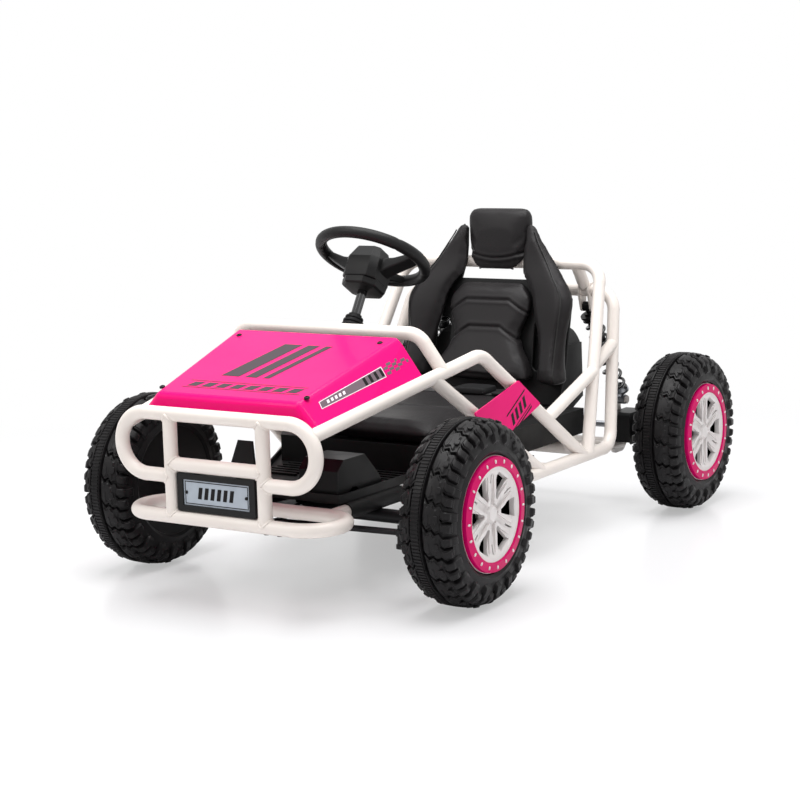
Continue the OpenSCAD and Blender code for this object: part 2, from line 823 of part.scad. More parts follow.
// Rear cover behind the seat
cover_half = 132;
cover_top = 350;
module rear_cover() {
    low = floor_z + floor_t + 4;
    front = 0.3 - seat_back_foot + 4;
    function plane(z) = -seat_back_foot + (z - seat_box_top) * tan(seat_tilt) + 8;
    color(black)
        intersection() {
            translate([-cover_half, rear_y, 0])
                rotate([90, 0, 90])
                    linear_extrude(2 * cover_half)
                        polygon([[front, low], [front, seat_box_top], [plane(330), 330],
                            [plane(330) + 14, cover_top], [-82, cover_top], [-66, cover_top - 18], [-62, 208],
                            [-150, low + 6]]);
            translate([0, rear_y, 0])
                rotate([90, 0, 0])
                    linear_extrude(400, center = true)
                        union() {
                            translate([0, 100]) square([2 * cover_half, 2 * (cover_top - 140)], center = true);
                            hull()
                                for (s = [-1, 1])
                                    translate([s * (cover_half - 60), cover_top - 60]) circle(r = 60);
                        }
        }
}

// Pedal and its base
pedal_p = front(-pedal_half, -40, floor_z + floor_t + 9.5);
pedal_pin_r = 3;
module pedal_base() {
    z = floor_z + floor_t + 0.2;
    reach = pedal_w / 2 + side_gap;
    color(black) {
        translate([-pedal_half - reach - 3, pedal_p[1] - 40, z]) cube([2 * reach + 6, 76, 3]);
        for (s = [-1, 1])
            translate([-pedal_half + s * (reach + 1.5) - 1.5, pedal_p[1], z])
                rotate([90, 0, 90])
                    linear_extrude(3)
                        hull() {
                            translate([0, 9.3]) circle(r = 6);
                            translate([-10, 0]) square([20, 1]);
                        }
        translate([-pedal_half - reach - 2, pedal_p[1], pedal_p[2]])
            rotate([0, 90, 0]) cylinder(h = 2 * reach + 4, r = pedal_pin_r);
    }
}

module pedal() {
    color(black)
        translate(pedal_p)
            difference() {
                union() {
                    rotate([0, 90, 0]) cylinder(h = pedal_w, r = 5.5, center = true);
                    rotate([90 - 12, 0, 0])
                        linear_extrude(5, center = true)
                            polygon([[-pedal_w / 2, 0], [pedal_w / 2, 0], [14, pedal_h], [-14, pedal_h]]);
                }
                rotate([0, 90, 0]) cylinder(h = pedal_w + 2, r = pedal_pin_r + run_gap, center = true);
            }
}

// Steering wheel, built flat and then tilted with the column
module helm_frame() {
    translate(helm_p) rotate([-helm_tilt, 0, 0]) children();
}

rim_mid = (helm_od - helm_rim) / 2;
module steering_wheel() {
    spoke_len = rim_mid - 6;
    color(black)
        helm_frame()
            difference() {
                union() {
                    rotate_extrude() translate([rim_mid, 0]) circle(d = helm_rim);
                    for (s = [-1, 1])
                        translate([0, 17, 0])
                            rotate([90, 0, 0])
                                linear_extrude(34)
                                    polygon([[s * 20, -42], [s * 40, -30], [s * spoke_len, -8],
                                        [s * spoke_len, 6], [s * 42, -6], [s * 20, -8]]);
                    rotate([90, 0, 90])
                        translate([0, 0, -32])
                            linear_extrude(64)
                                polygon([[-34, -50], [30, -50], [30, -8], [16, -4], [-14, -6], [-30, -22]]);
                    translate([0, 0, -62]) cylinder(h = 14, r = 36, $fn = 6);
                    rotate([90, 0, 90])
                        translate([0, 0, -19])
                            linear_extrude(38)
                                polygon([[20, -34], [spoke_len, -6], [spoke_len, 6], [20, -10]]);
                }
                translate([0, 0, -70]) cylinder(h = 70 - 24, d = column_od + 2 * weld_gap);
                translate([0, 0, -12]) cylinder(h = 12, r = 15 + side_gap);
            }
}

module horn_pad() {
    color(black)
        helm_frame()
            difference() {
                translate([0, 0, -8.5]) cylinder(h = 7, r1 = 15, r2 = 13);
                translate([0, 0, -3]) cylinder(h = 3, r = 9);
            }
}

// Column: shaft, and the pitman plate with its two bolts
pin_half = 13;
bolt_r = 4;
column_foot = pitman_z - 4;
pitman_pin_y = on_column(tie_z)[1] - pitman_len / cos(helm_tilt);
module steering_column() {
    foot = on_column(pitman_z + 2.5);
    color(steel) {
        rod(on_column(helm_z - 25 * cos(helm_tilt)), on_column(column_foot), column_od);
        translate([0, 0, pitman_z])
            linear_extrude(5)
                hull() {
                    translate([0, foot[1]]) circle(r = 11);
                    for (s = [-1, 1]) translate([s * pin_half, pitman_pin_y]) circle(r = 9);
                }
        for (s = [-1, 1])
            translate([s * pin_half, pitman_pin_y, 0]) {
                translate([0, 0, 96]) cylinder(h = pitman_z - 96 + 1, r = bolt_r);
                translate([0, 0, 94]) cylinder(h = 8, r1 = 5, r2 = 8);
                translate([0, 0, pitman_z + 4]) cylinder(h = 6, r = 7, $fn = 6);
            }
    }
}

module column_boot() {
    color(black)
        translate(on_column(boot_z + 3))
            rotate([-helm_tilt, 0, 0])
                difference() {
                    rotate_extrude()
                        polygon([[0, -8], [17, -8], [18, -4], [15, -1], [16, 2], [13, 5], [14, 8], [11, 14], [0, 14]]);
                    translate([0, 0, -20]) cylinder(h = 50, r = column_od / 2 + run_gap);
                }
}

// Tie rods: from the knuckle's pin to the pitman bolt, where the eye has play
tie_eye_r = bolt_r + eye_play + 3.5;
module tie_rod(s) {
    a = [s * king_half, front_y - arm_len, tie_z];
    b = [s * pin_half, pitman_pin_y, tie_z];
    color(steel)
        difference() {
            union() {
                rod(a, b, tie_rod_od);
                translate(a - [0, 0, 5]) cylinder(h = 10, r = 9);
                translate(b - [0, 0, 4]) cylinder(h = 8, r = tie_eye_r);
            }
            translate(a - [0, 0, 10]) cylinder(h = 20, r = bolt_r + run_gap);
            translate(b - [0, 0, 10]) cylinder(h = 20, r = bolt_r + eye_play);
        }
}

// Knuckle: fork round the king pin sleeve, stub axle and steering arm
fork_t = 6;
stub_r = 6;
hub_face = track / 2 - 14;
module knuckle(s) {
    low = king_low - side_gap - fork_t;
    color(steel)
        translate([0, front_y, 0])
            mirror([s > 0 ? 0 : 1, 0, 0]) {
                for (z = [low, king_high + side_gap])
                    translate([0, 0, z])
                        linear_extrude(fork_t)
                            hull() {
                                translate([king_half, 0]) circle(r = 12);
                                translate([king_half + 16, -12]) square([6, 24]);
                            }
                translate([king_half + king_sleeve_r + 1.5, -12, low])
                    cube([7, 24, king_high - king_low + 2 * (side_gap + fork_t)]);
                translate([king_half, 0, low - 5]) cylinder(h = king_high - low + side_gap + fork_t + 8, r = king_r);
                translate([king_half, 0, low - 6]) cylinder(h = 7, r = 10, $fn = 6);
                translate([king_half, 0, king_high + side_gap + fork_t - 1]) cylinder(h = 6, r = 10, $fn = 6);
                translate([king_half + king_sleeve_r + 4, 0, tyre_r])
                    rotate([0, 90, 0])
                        cylinder(h = track / 2 + 30 - king_half - king_sleeve_r - 4, r = stub_r);
                translate([0, 0, low])
                    linear_extrude(fork_t)
                        hull() {
                            translate([king_half, -8]) circle(r = 10);
                            translate([king_half, -arm_len]) circle(r = 9);
                        }
                translate([king_half, -arm_len, low + 1]) cylinder(h = tie_z + 16 - low, r = bolt_r);
                translate([king_half, -arm_len, low + 1]) cylinder(h = tie_z - 5.3 - low - 1, r = 7);
                translate([king_half, -arm_len, tie_z + 5.4]) cylinder(h = 6, r = 7, $fn = 6);
            }
}

// Rear swing arm: pivot sleeve, two arms, rear tube and the plates that hold the axle and the shocks
arm_half = 78;
plate_x = shock_low_half - eye_w / 2 - eye_shift - 5;
arm_z = tyre_r - arm_drop;
module swing_arm() {
    a = rear(arm_half, swing_ahead, rail_z);
    b = rear(plate_x - 6, 34, arm_z);
    color(steel)
        difference() {
            union() {
                rod([-pivot_half, swing_p[1], rail_z], [pivot_half, swing_p[1], rail_z], 22);
                both() {
                    rod(a, b, 18);
                    rod(b - [0, 8, 0], [plate_x + 4, rear_y + 14, arm_z], 18);
                    translate([plate_x, rear_y, 0])
                        rotate([90, 0, 90])
                            linear_extrude(5)
                                hull() {
                                    translate([-14, arm_z]) circle(r = 16);
                                    translate([10, arm_z]) circle(r = 16);
                                    translate([-shock_low_ahead, tyre_r + shock_low_up]) circle(r = 11);
                                }
                    translate([plate_x, shock_low_p[1], shock_low_p[2]])
                        rotate([0, 90, 0]) cylinder(h = eye_w + side_gap + eye_shift + 9, r = shock_pin_r);
                    translate([shock_low_half + eye_w / 2 + side_gap, shock_low_p[1], shock_low_p[2]])
                        rotate([0, 90, 0]) cylinder(h = 4, r = 8, $fn = 6);
                }
                rod([-plate_x, rear_y, arm_z], [plate_x, rear_y, arm_z], 18);
            }
            translate([-pivot_half - 1, swing_p[1], rail_z])
                rotate([0, 90, 0]) cylinder(h = 2 * pivot_half + 2, r = pivot_r + run_gap);
            translate([-300, rear_y, tyre_r]) rotate([0, 90, 0]) cylinder(h = 600, r = axle_r + weld_gap);
        }
}

axle_half = track / 2 + 26;
module rear_axle() {
    color(steel)
        translate([-axle_half, rear_y, tyre_r]) rotate([0, 90, 0]) cylinder(h = 2 * axle_half, r = axle_r);
}

// Gear units outside the plates, each with its motor inside them
module gear_motors() {
    x = plate_x + 5 + weld_gap;
    color(black)
        both() difference() {
            union() {
                translate([x, rear_y, tyre_r])
                    rotate([90, 0, 90])
                        linear_extrude(38)
                            offset(r = 8) square([56, 44], center = true);
                translate([x + 37, rear_y, tyre_r]) rotate([0, 90, 0]) cylinder(h = 6, r = 24);
            }
            translate([0, rear_y, tyre_r]) rotate([0, 90, 0]) cylinder(h = 400, r = axle_r + weld_gap);
            translate([x - 1, rear_y - 60, tyre_r - 60]) cube([24 + eye_w, 120, 60 - arm_drop + 9 + 0.4]);
            translate([x - 1, shock_low_p[1] - 14, shock_low_p[2] - 13]) cube([24 + eye_w, 28, 40]);
        }
}

// Shocks: each runs from the hanger pin down to the swing arm pin
shock_len = norm(shock_low_p - shock_top_p);
shock_dir = unit(shock_low_p - shock_top_p);
body_len = 96;
body_r = 11;
shaft_r = 5;
seat_t = 4;
module shock_frame(s) {
    v = shock_dir;
    mirror([s > 0 ? 0 : 1, 0, 0])
        translate(shock_top_p)
            rotate([0, acos(v[2]), atan2(v[1], v[0])])
                children();
}

module shock_body(s) {
    color(black) {
        difference() {
            union() {
                shock_frame(s) {
                    translate([0, 0, 12]) cylinder(h = body_len - 12, r = body_r);
                    translate([0, 0, 16]) cylinder(h = seat_t, r = coil_od / 2 + 1);
                    cylinder(h = 14, r = 6);
                }
                translate([s * shock_top_half - eye_w / 2, shock_top_p[1], shock_top_p[2]])
                    rotate([0, 90, 0]) cylinder(h = eye_w, r = eye_r);
            }
            translate([s * shock_top_half - eye_w, shock_top_p[1], shock_top_p[2]])
                rotate([0, 90, 0]) cylinder(h = 2 * eye_w, r = shock_pin_r + run_gap);
            shock_frame(s) translate([0, 0, 30]) cylinder(h = 200, r = shaft_r + run_gap);
        }
    }
}

module shock_rod(s) {
    color(steel)
        difference() {
            union() {
                shock_frame(s) {
                    translate([0, 0, 62]) cylinder(h = shock_len - 62, r = shaft_r);
                    translate([0, 0, shock_len - 20]) cylinder(h = seat_t, r = coil_od / 2 + 1);
                    translate([0, 0, shock_len - 18]) cylinder(h = 14, r = 5.6);
                }
                translate([s * shock_low_half - eye_w / 2, shock_low_p[1], shock_low_p[2]])
                    rotate([0, 90, 0]) cylinder(h = eye_w, r = eye_r);
            }
            translate([s * shock_low_half - eye_w, shock_low_p[1], shock_low_p[2]])
                rotate([0, 90, 0]) cylinder(h = 2 * eye_w, r = shock_pin_r + 2);
        }
}

// Coil spring: one unbroken tube wound down the shock
coil_from = 16 + seat_t + 0.3;
coil_to = shock_len - 20 - 0.3;
coil_mid = coil_od / 2 - coil_wire / 2;
coil_steps = 8;
function coil_point(k) =
    let (n = coil_turns * coil_steps, t = k / n,
        low = coil_from + coil_wire / 2, high = coil_to - coil_wire / 2)
    [coil_mid * cos(360 * coil_turns * t), coil_mid * sin(360 * coil_turns * t), low + t * (high - low)];
function coil_ring(k) =
    let (p = coil_point(k), q = coil_point(k + 0.5) - coil_point(k - 0.5),
        u = unit(q), out = unit([p[0], p[1], 0]), w = cross(u, out))
    [for (j = [0:5]) p + coil_wire / 2 * (cos(60 * j) * out + sin(60 * j) * w)];
coil_pitch = (coil_to - coil_from - coil_wire) / coil_turns;
echo("least gap between the turns of a shock spring", coil_pitch - coil_wire);

module spring(s) {
    color(black) shock_frame(s) loft([for (k = [0:coil_turns * coil_steps]) coil_ring(k)]);
}

// Wheels, built round the X axis with the outer side towards +X
crown_half = 36.5;
carcass_in = ring_r + 1;
module wheel_place(s, y) {
    translate([s * track / 2, y, tyre_r]) mirror([s > 0 ? 0 : 1, 0, 0]) rotate([0, 90, 0]) children();
}

module tyre(s, y) {
    w = tyre_w / 2;
    bore = (y > 0 ? axle_r : stub_r) + run_gap;
    color(black)
        wheel_place(s, y)
            difference() {
                union() {
                    rotate_extrude($fn = 96)
                        polygon([[carcass_in, -w + 12], [carcass_in + 8, -w + 3], [carcass_in + 21, -w + 4],
                            [tyre_r - 12, -crown_half + 2], [tyre_r - 7, -8], [tyre_r - 7, 8],
                            [tyre_r - 12, crown_half - 2], [carcass_in + 21, w - 4], [carcass_in + 8, w - 3],
                            [carcass_in, w - 12], [carcass_in + 6, w - 20], [tyre_r - 26, crown_half - 10],
                            [tyre_r - 22, 0], [tyre_r - 26, 10 - crown_half], [carcass_in + 6, 20 - w]]);
                    rotate_extrude($fn = 96) translate([tyre_r - 9, -7]) square([9, 14]);
                    translate([0, 0, -w + 9]) cylinder(h = 6, r = carcass_in + 4, $fn = 96);
                    translate([0, 0, -w + 9]) cylinder(h = w + 13, r = 19);
                    for (side = [-1, 1], i = [0:lugs - 1])
                        rotate([0, 0, (i + (side > 0 ? 0.5 : 0)) * 360 / lugs])
                            tread_block(side, w);
                }
                translate([0, 0, -w]) cylinder(h = 2 * w, r = bore);
                for (i = [0:band_ribs - 1])
                    rotate([0, 0, i * 360 / band_ribs])
                        translate([tyre_r - 1.5, -1.2, -9]) cube([4, 2.4, 8]);
            }
}

// One tread block: a crown part next to the band and a shoulder part that steps round by an angle
module tread_block(side, w) {
    rotate_extrude(angle = 208 / lugs, start = 0, $fn = 96)
        polygon([[tyre_r - 16, side * 8], [tyre_r - 1, side * 9.5], [tyre_r - 3.5, side * 24], [tyre_r - 14, side * 26]]);
    rotate([0, 0, 84 / lugs])
        rotate_extrude(angle = 168 / lugs, start = 0, $fn = 96)
            polygon([[tyre_r - 20, side * 22], [tyre_r - 3.5, side * 22], [tyre_r - 8, side * (w - 11)],
                [tyre_r - 27, side * w], [carcass_in + 11, side * w], [carcass_in + 11, side * (w - 8)]]);
}

// Hub: a shallow cap in the tyre's outer side, its spokes rising toward the ring
cap_low = 22.3;
module hub(s, y) {
    edge = ring_in - 0.3;
    win_out = ring_in - 10;
    color("white")
        wheel_place(s, y)
            difference() {
                union() {
                    rotate_extrude($fn = 96)
                        polygon([[0, 38], [16, 38], [20, 36], [win_out - 4, 40], [win_out + 4, 45], [edge, 46],
                            [edge, 40.4], [carcass_in - 0.3, 40.4], [carcass_in - 0.3, 24], [carcass_in - 4, 24],
                            [carcass_in - 4, 34], [win_out, 34], [22, 30], [19, cap_low], [0, cap_low]]);
                    translate([0, 0, 37]) cylinder(h = 6, r1 = 17, r2 = 12, $fn = 6);
                    for (i = [0:spokes - 1], side = [-1, 1])
                        rotate([0, 0, i * 360 / spokes])
                            translate([15, side * 9, 35])
                                linear_extrude(6.5) polygon([[0, -3], [win_out - 16, -3], [win_out - 16, 3], [0, 3]]);
                }
                translate([0, 0, cap_low - 1]) cylinder(h = 11, r = 9);
                for (i = [0:spokes - 1])
                    rotate([0, 0, (i + 0.5) * 360 / spokes])
                        translate([0, 0, 20])
                            linear_extrude(40)
                                polygon([[25, -3], [34, -6], [win_out, -15], [win_out, 15], [34, 6], [25, 3]]);
                for (i = [0:spokes - 1])
                    rotate([0, 0, i * 360 / spokes])
                        translate([win_out - 16, -1.5, 20]) cube([16, 3, 40]);
            }
}

module ring(s, y) {
    color(pink)
        wheel_place(s, y) {
            rotate_extrude($fn = 96)
                polygon([[ring_in, 40.7], [ring_r, 40.7], [ring_r - 1, 47], [ring_in + 1.5, 49], [ring_in, 48]]);
            for (i = [0:ring_studs - 1])
                rotate([0, 0, i * 360 / ring_studs])
                    translate([(ring_r + ring_in) / 2, 0, 47]) cylinder(h = 2.2, r = 1.6);
        }
}

bumper_loop();
bumper_posts();
bumper_crossbar();
lower_hoop();
side_rails();
side_struts();
lower_rails();
main_hoop();
rear_hoop();
hoop_ties();
frame_braces();
dash_hoop();
front_beam();
cross_members();
floor_pan();
foot_rest();
plate_holder();
plate_panel();
hood();
side_plates();
rail_sleeves();
seat_box();
seat_shell();
seat_cushion();
back_cushion();
seat_bolsters();
head_pad();
lap_belt();
rear_cover();
pedal_base();
pedal();
steering_wheel();
steering_column();
column_boot();
horn_pad();
tie_rod(1);  // tie_rod_l
tie_rod(-1);  // tie_rod_r
knuckle(1);  // knuckle_l
knuckle(-1);  // knuckle_r
swing_arm();
rear_axle();
gear_motors();
shock_body(1);  // shock_body_l
shock_body(-1);  // shock_body_r
shock_rod(1);  // shock_rod_l
shock_rod(-1);  // shock_rod_r
spring(1);  // spring_l
spring(-1);  // spring_r
tyre(1, front_y);  // tyre_fl
tyre(-1, front_y);  // tyre_fr
tyre(1, rear_y);  // tyre_rl
tyre(-1, rear_y);  // tyre_rr
hub(1, front_y);  // hub_fl
hub(-1, front_y);  // hub_fr
hub(1, rear_y);  // hub_rl
hub(-1, rear_y);  // hub_rr
ring(1, front_y);  // ring_fl
ring(-1, front_y);  // ring_fr
ring(1, rear_y);  // ring_rl
ring(-1, rear_y);  // ring_rr
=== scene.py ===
# Off road go kart: finishes, tyres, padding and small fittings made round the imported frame
import math
import bpy
import numpy as np
from mathutils import Matrix, Vector


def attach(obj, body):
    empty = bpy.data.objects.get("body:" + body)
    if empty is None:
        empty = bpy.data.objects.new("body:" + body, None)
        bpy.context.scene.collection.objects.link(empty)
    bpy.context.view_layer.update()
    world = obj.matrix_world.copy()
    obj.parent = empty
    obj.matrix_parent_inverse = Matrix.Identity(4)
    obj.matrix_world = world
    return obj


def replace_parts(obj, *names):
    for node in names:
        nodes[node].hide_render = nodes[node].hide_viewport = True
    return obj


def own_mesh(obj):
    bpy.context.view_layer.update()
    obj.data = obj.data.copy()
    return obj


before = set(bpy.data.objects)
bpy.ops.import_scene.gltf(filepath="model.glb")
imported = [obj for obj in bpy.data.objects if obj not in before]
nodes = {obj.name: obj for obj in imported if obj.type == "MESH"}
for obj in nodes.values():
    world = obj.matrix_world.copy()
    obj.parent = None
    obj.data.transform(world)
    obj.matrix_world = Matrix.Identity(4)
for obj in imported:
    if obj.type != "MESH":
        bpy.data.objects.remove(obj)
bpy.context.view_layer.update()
print("stage 1: frame loaded,", len(nodes), "nodes")

mm = 0.001
frontAxle, rearAxle = -0.3475, 0.4325     # y of the axles; z of both is the wheel's radius


def linear(code):
    # sRGB hex to the linear colour that shaders take
    c = np.array([int(code[i:i + 2], 16) for i in (1, 3, 5)]) / 255
    c = np.where(c <= 0.04045, c / 12.92, ((c + 0.055) / 1.055) ** 2.4)
    return (*c.tolist(), 1.0)


def addNode(tree, kind, inputs=None, **settings):
    # one node with its settings; an input is a plain value or a (node, output) link
    node = tree.nodes.new(kind)
    for key, value in settings.items():
        setattr(node, key, value)
    for key, value in (inputs or {}).items():
        if isinstance(value, tuple) and isinstance(value[0], bpy.types.Node):
            tree.links.new(value[0].outputs[value[1]], node.inputs[key])
        else:
            node.inputs[key].default_value = value
    return node


def relief(tree, place, look):
    # the height that the bump takes: clouded skin, leather cells or the threads of a weave
    size = look["grain"][0] * mm
    kind = look.get("grainKind", "noise")
    if kind == "cells":
        edge = addNode(tree, "ShaderNodeTexVoronoi", {"Vector": place, "Scale": 1 / size},
            feature="DISTANCE_TO_EDGE")
        soft = addNode(tree, "ShaderNodeMapRange", {"Value": (edge, "Distance"), "From Max": 0.3},
            interpolation_type="SMOOTHSTEP")
        return soft, "Result"
    if kind == "weave":
        warp, weft = (addNode(tree, "ShaderNodeTexWave", {"Vector": place, "Scale": 0.314 / size},
            bands_direction=axis) for axis in "XY")
        threads = addNode(tree, "ShaderNodeMath", {0: (warp, "Fac"), 1: (weft, "Fac")}, operation="MAXIMUM")
        return threads, "Value"
    cloud = addNode(tree, "ShaderNodeTexNoise", {"Vector": place, "Scale": 1 / size, "Detail": 2.0})
    return cloud, "Fac"


def newFinish(name, look):
    # a Principled surface; grain is (size, depth) in mm, mottle (size in mm, share, other colour and roughness)
    material = bpy.data.materials.new(name)
    material.use_nodes = True
    tree = material.node_tree
    shader = tree.nodes["Principled BSDF"]
    sockets = {"Roughness": look["rough"], "Metallic": look.get("metal", 0.0),
        "Coat Weight": look.get("coat", 0.0), "Coat Roughness": look.get("coatRough", 0.1),
        "Specular IOR Level": look.get("shine", 0.5), "Sheen Weight": look.get("sheen", 0.0)}
    for key, value in sockets.items():
        shader.inputs[key].default_value = value
    shader.inputs["Base Color"].default_value = linear(look["colour"])
    place = (addNode(tree, "ShaderNodeTexCoord"), "Object")
    if "mottle" in look:
        size, share, other, otherRough = look["mottle"]
        cloud = addNode(tree, "ShaderNodeTexNoise", {"Vector": place, "Scale": 1 / (size * mm),
            "Detail": 4.0})
        spread = addNode(tree, "ShaderNodeMapRange", {"Value": (cloud, "Fac"), "From Min": 0.35,
            "From Max": 0.7, "To Max": share})
        tint = addNode(tree, "ShaderNodeMix", {0: (spread, "Result"), 6: linear(look["colour"]),
            7: linear(other)}, data_type="RGBA")
        tree.links.new(tint.outputs[2], shader.inputs["Base Color"])
        dull = addNode(tree, "ShaderNodeMapRange", {"Value": (cloud, "Fac"), "From Min": 0.35,
            "From Max": 0.7, "To Min": look["rough"], "To Max": otherRough})
        tree.links.new(dull.outputs["Result"], shader.inputs["Roughness"])
    if "grain" in look:
        bump = addNode(tree, "ShaderNodeBump", {"Height": relief(tree, place, look),
            "Distance": look["grain"][1] * mm})
        tree.links.new(bump.outputs["Normal"], shader.inputs["Normal"])
    return material


finishLooks = {
    # powder-coated steel tube: warm off-white with a faint orange peel
    "powderCoatedSteel": {"colour": "#E9E1DA", "rough": 0.32, "coat": 0.2, "coatRough": 0.15,
        "grain": (4.0, 0.03), "mottle": (90, 0.3, "#DFD4CB", 0.42)},
    # painted steel sheet: hot pink gloss with clear reflections
    "pinkGlossPaint": {"colour": "#EC0074", "rough": 0.3, "shine": 0.11, "coat": 0.07, "coatRough": 0.05,
        "grain": (11.0, 0.03), "mottle": (120, 0.3, "#E4006C", 0.36)},
    # moulded ABS: a deeper pink, a little less glossy
    "pinkMouldedAbs": {"colour": "#D00062", "rough": 0.34, "shine": 0.12, "grain": (2.5, 0.02),
        "mottle": (30, 0.4, "#CC0060", 0.44)},
    # blow-moulded polyethylene: black with a cloudy skin that catches soft highlights
    "blowMouldedTyre": {"colour": "#131213", "rough": 0.34, "shine": 0.17, "grain": (2.6, 0.14),
        "mottle": (9, 0.7, "#1C1A1B", 0.5)},
    # injection-moulded nylon: greyish white satin
    "whiteNylon": {"colour": "#E3DFDD", "rough": 0.34, "shine": 0.4, "grain": (3.0, 0.02),
        "mottle": (30, 0.5, "#D6D1CF", 0.42)},
    # PVC leathercloth over foam: near black, fine embossed cells, soft broad highlights
    "leathercloth": {"colour": "#1E1C1D", "rough": 0.38, "shine": 0.17, "grain": (2.2, 0.09),
        "grainKind": "cells", "mottle": (70, 0.5, "#242223", 0.48)},
    # plate blank: grey-blue aluminium sheet under lacquer
    "plateBlank": {"colour": "#A9B2BC", "rough": 0.3, "coat": 0.3, "mottle": (14, 0.5, "#97A0AB", 0.4)},
    # zinc plated steel: bright, slightly blue, brushed dull
    "zincSteel": {"colour": "#B4B7BC", "rough": 0.3, "metal": 1.0, "grain": (3.0, 0.03),
        "mottle": (20, 0.5, "#9EA2A8", 0.42)},
    # blackened steel: satin with dull highlights
    "blackenedSteel": {"colour": "#161617", "rough": 0.36, "metal": 0.4, "shine": 0.3, "grain": (3.0, 0.03),
        "mottle": (24, 0.5, "#232326", 0.48)},
    # enamelled steel wire and tube: glossy black
    "springEnamel": {"colour": "#0C0C0D", "rough": 0.12, "coat": 0.6, "coatRough": 0.05,
        "grain": (8.0, 0.02)},
    # moulded rubber: dull black
    "mouldedRubber": {"colour": "#111112", "rough": 0.5, "shine": 0.18, "grain": (2.0, 0.08),
        "mottle": (20, 0.5, "#191819", 0.62)},
    # woven polyester webbing: black tape; threads drawn 2.4 mm apart so that they show
    "wovenWebbing": {"colour": "#151516", "rough": 0.7, "shine": 0.3, "grain": (2.4, 0.3),
        "grainKind": "weave", "sheen": 0.2},
    # textured polypropylene: black with a spark-eroded grain
    "texturedPolypropylene": {"colour": "#131313", "rough": 0.4, "shine": 0.2, "grain": (1.8, 0.07),
        "mottle": (40, 0.5, "#1A1A1B", 0.52)},
    # printed vinyl film: smoke grey, dark grey, black and pale
    "smokeFilm": {"colour": "#6C5C65", "rough": 0.3, "shine": 0.2, "grain": (6.0, 0.01)},
    "darkFilm": {"colour": "#3F353B", "rough": 0.32, "shine": 0.14, "grain": (6.0, 0.01)},
    "blackFilm": {"colour": "#120F11", "rough": 0.35, "shine": 0.14, "grain": (6.0, 0.01)},
    "paleFilm": {"colour": "#F3E6EC", "rough": 0.32, "grain": (6.0, 0.01)},
    # twisted piping cord and thread in the seat's seams: black with a dull shine
    "pipingCord": {"colour": "#1C1B1B", "rough": 0.34, "shine": 0.3, "grain": (1.6, 0.1)},
}
finishes = {name: newFinish(name, look) for name, look in finishLooks.items()}

nodeFinish = {
    "powderCoatedSteel": "bumper_loop bumper_posts bumper_crossbar lower_hoop side_rails side_struts"
        " lower_rails main_hoop rear_hoop hoop_ties frame_braces dash_hoop cross_members swing_arm",
    "pinkGlossPaint": "hood side_plates",
    "pinkMouldedAbs": "ring_fl ring_fr ring_rl ring_rr",
    "blowMouldedTyre": "tyre_fl tyre_fr tyre_rl tyre_rr",
    "whiteNylon": "hub_fl hub_fr hub_rl hub_rr",
    "leathercloth": "seat_cushion back_cushion seat_bolsters head_pad",
    "plateBlank": "plate_panel",
    "zincSteel": "rear_axle shock_rod_l shock_rod_r",
    "blackenedSteel": "front_beam knuckle_l knuckle_r tie_rod_l tie_rod_r shock_body_l shock_body_r",
    "springEnamel": "spring_l spring_r steering_column",
    "mouldedRubber": "column_boot horn_pad rail_sleeves",
    "wovenWebbing": "lap_belt",
    "texturedPolypropylene": "plate_holder floor_pan foot_rest seat_box seat_shell rear_cover"
        " pedal_base pedal gear_motors steering_wheel",
}
for finishName, names in nodeFinish.items():
    for name in names.split():
        mesh = nodes[name].data
        mesh.materials.clear()
        mesh.materials.append(finishes[finishName])
print("stage 2: finishes set")


def gridFaces(rows, columns, wrapRows):
    # quads between neighbours of a rows x columns grid of points whose columns close to rings
    index = np.arange(rows * columns).reshape(rows, columns)
    index = np.hstack([index, index[:, :1]])
    if wrapRows:
        index = np.vstack([index, index[:1]])
    return np.stack([index[:-1, :-1], index[1:, :-1], index[1:, 1:], index[:-1, 1:]], -1).reshape(-1, 4)


def closedGrid(points, wrapRows=False):
    # a closed surface of rings; ends that don't wrap are closed with a fan to their middle
    rows, columns, _ = points.shape
    faces = [gridFaces(rows, columns, wrapRows)]
    flat = points.reshape(-1, 3)
    if not wrapRows:
        flat = np.vstack([flat, points[0].mean(0), points[-1].mean(0)])
        k, n = np.arange(columns), rows * columns
        after = np.roll(k, -1)
        faces.append(np.vstack([np.stack([np.full(columns, n), k, after], -1),
            np.stack([np.full(columns, n + 1), n - columns + after, n - columns + k], -1)]))
    # turned round if the volume comes out negative, so that faces point outwards
    tris = np.vstack([f[:, [0, k, k + 1]] for f in faces for k in range(1, f.shape[1] - 1)])
    a, b, c = flat[tris].transpose(1, 0, 2)
    if np.einsum("ij,ij->", a - flat.mean(0), np.cross(b - flat.mean(0), c - flat.mean(0))) < 0:
        faces = [f[:, ::-1] for f in faces]
    return flat, faces


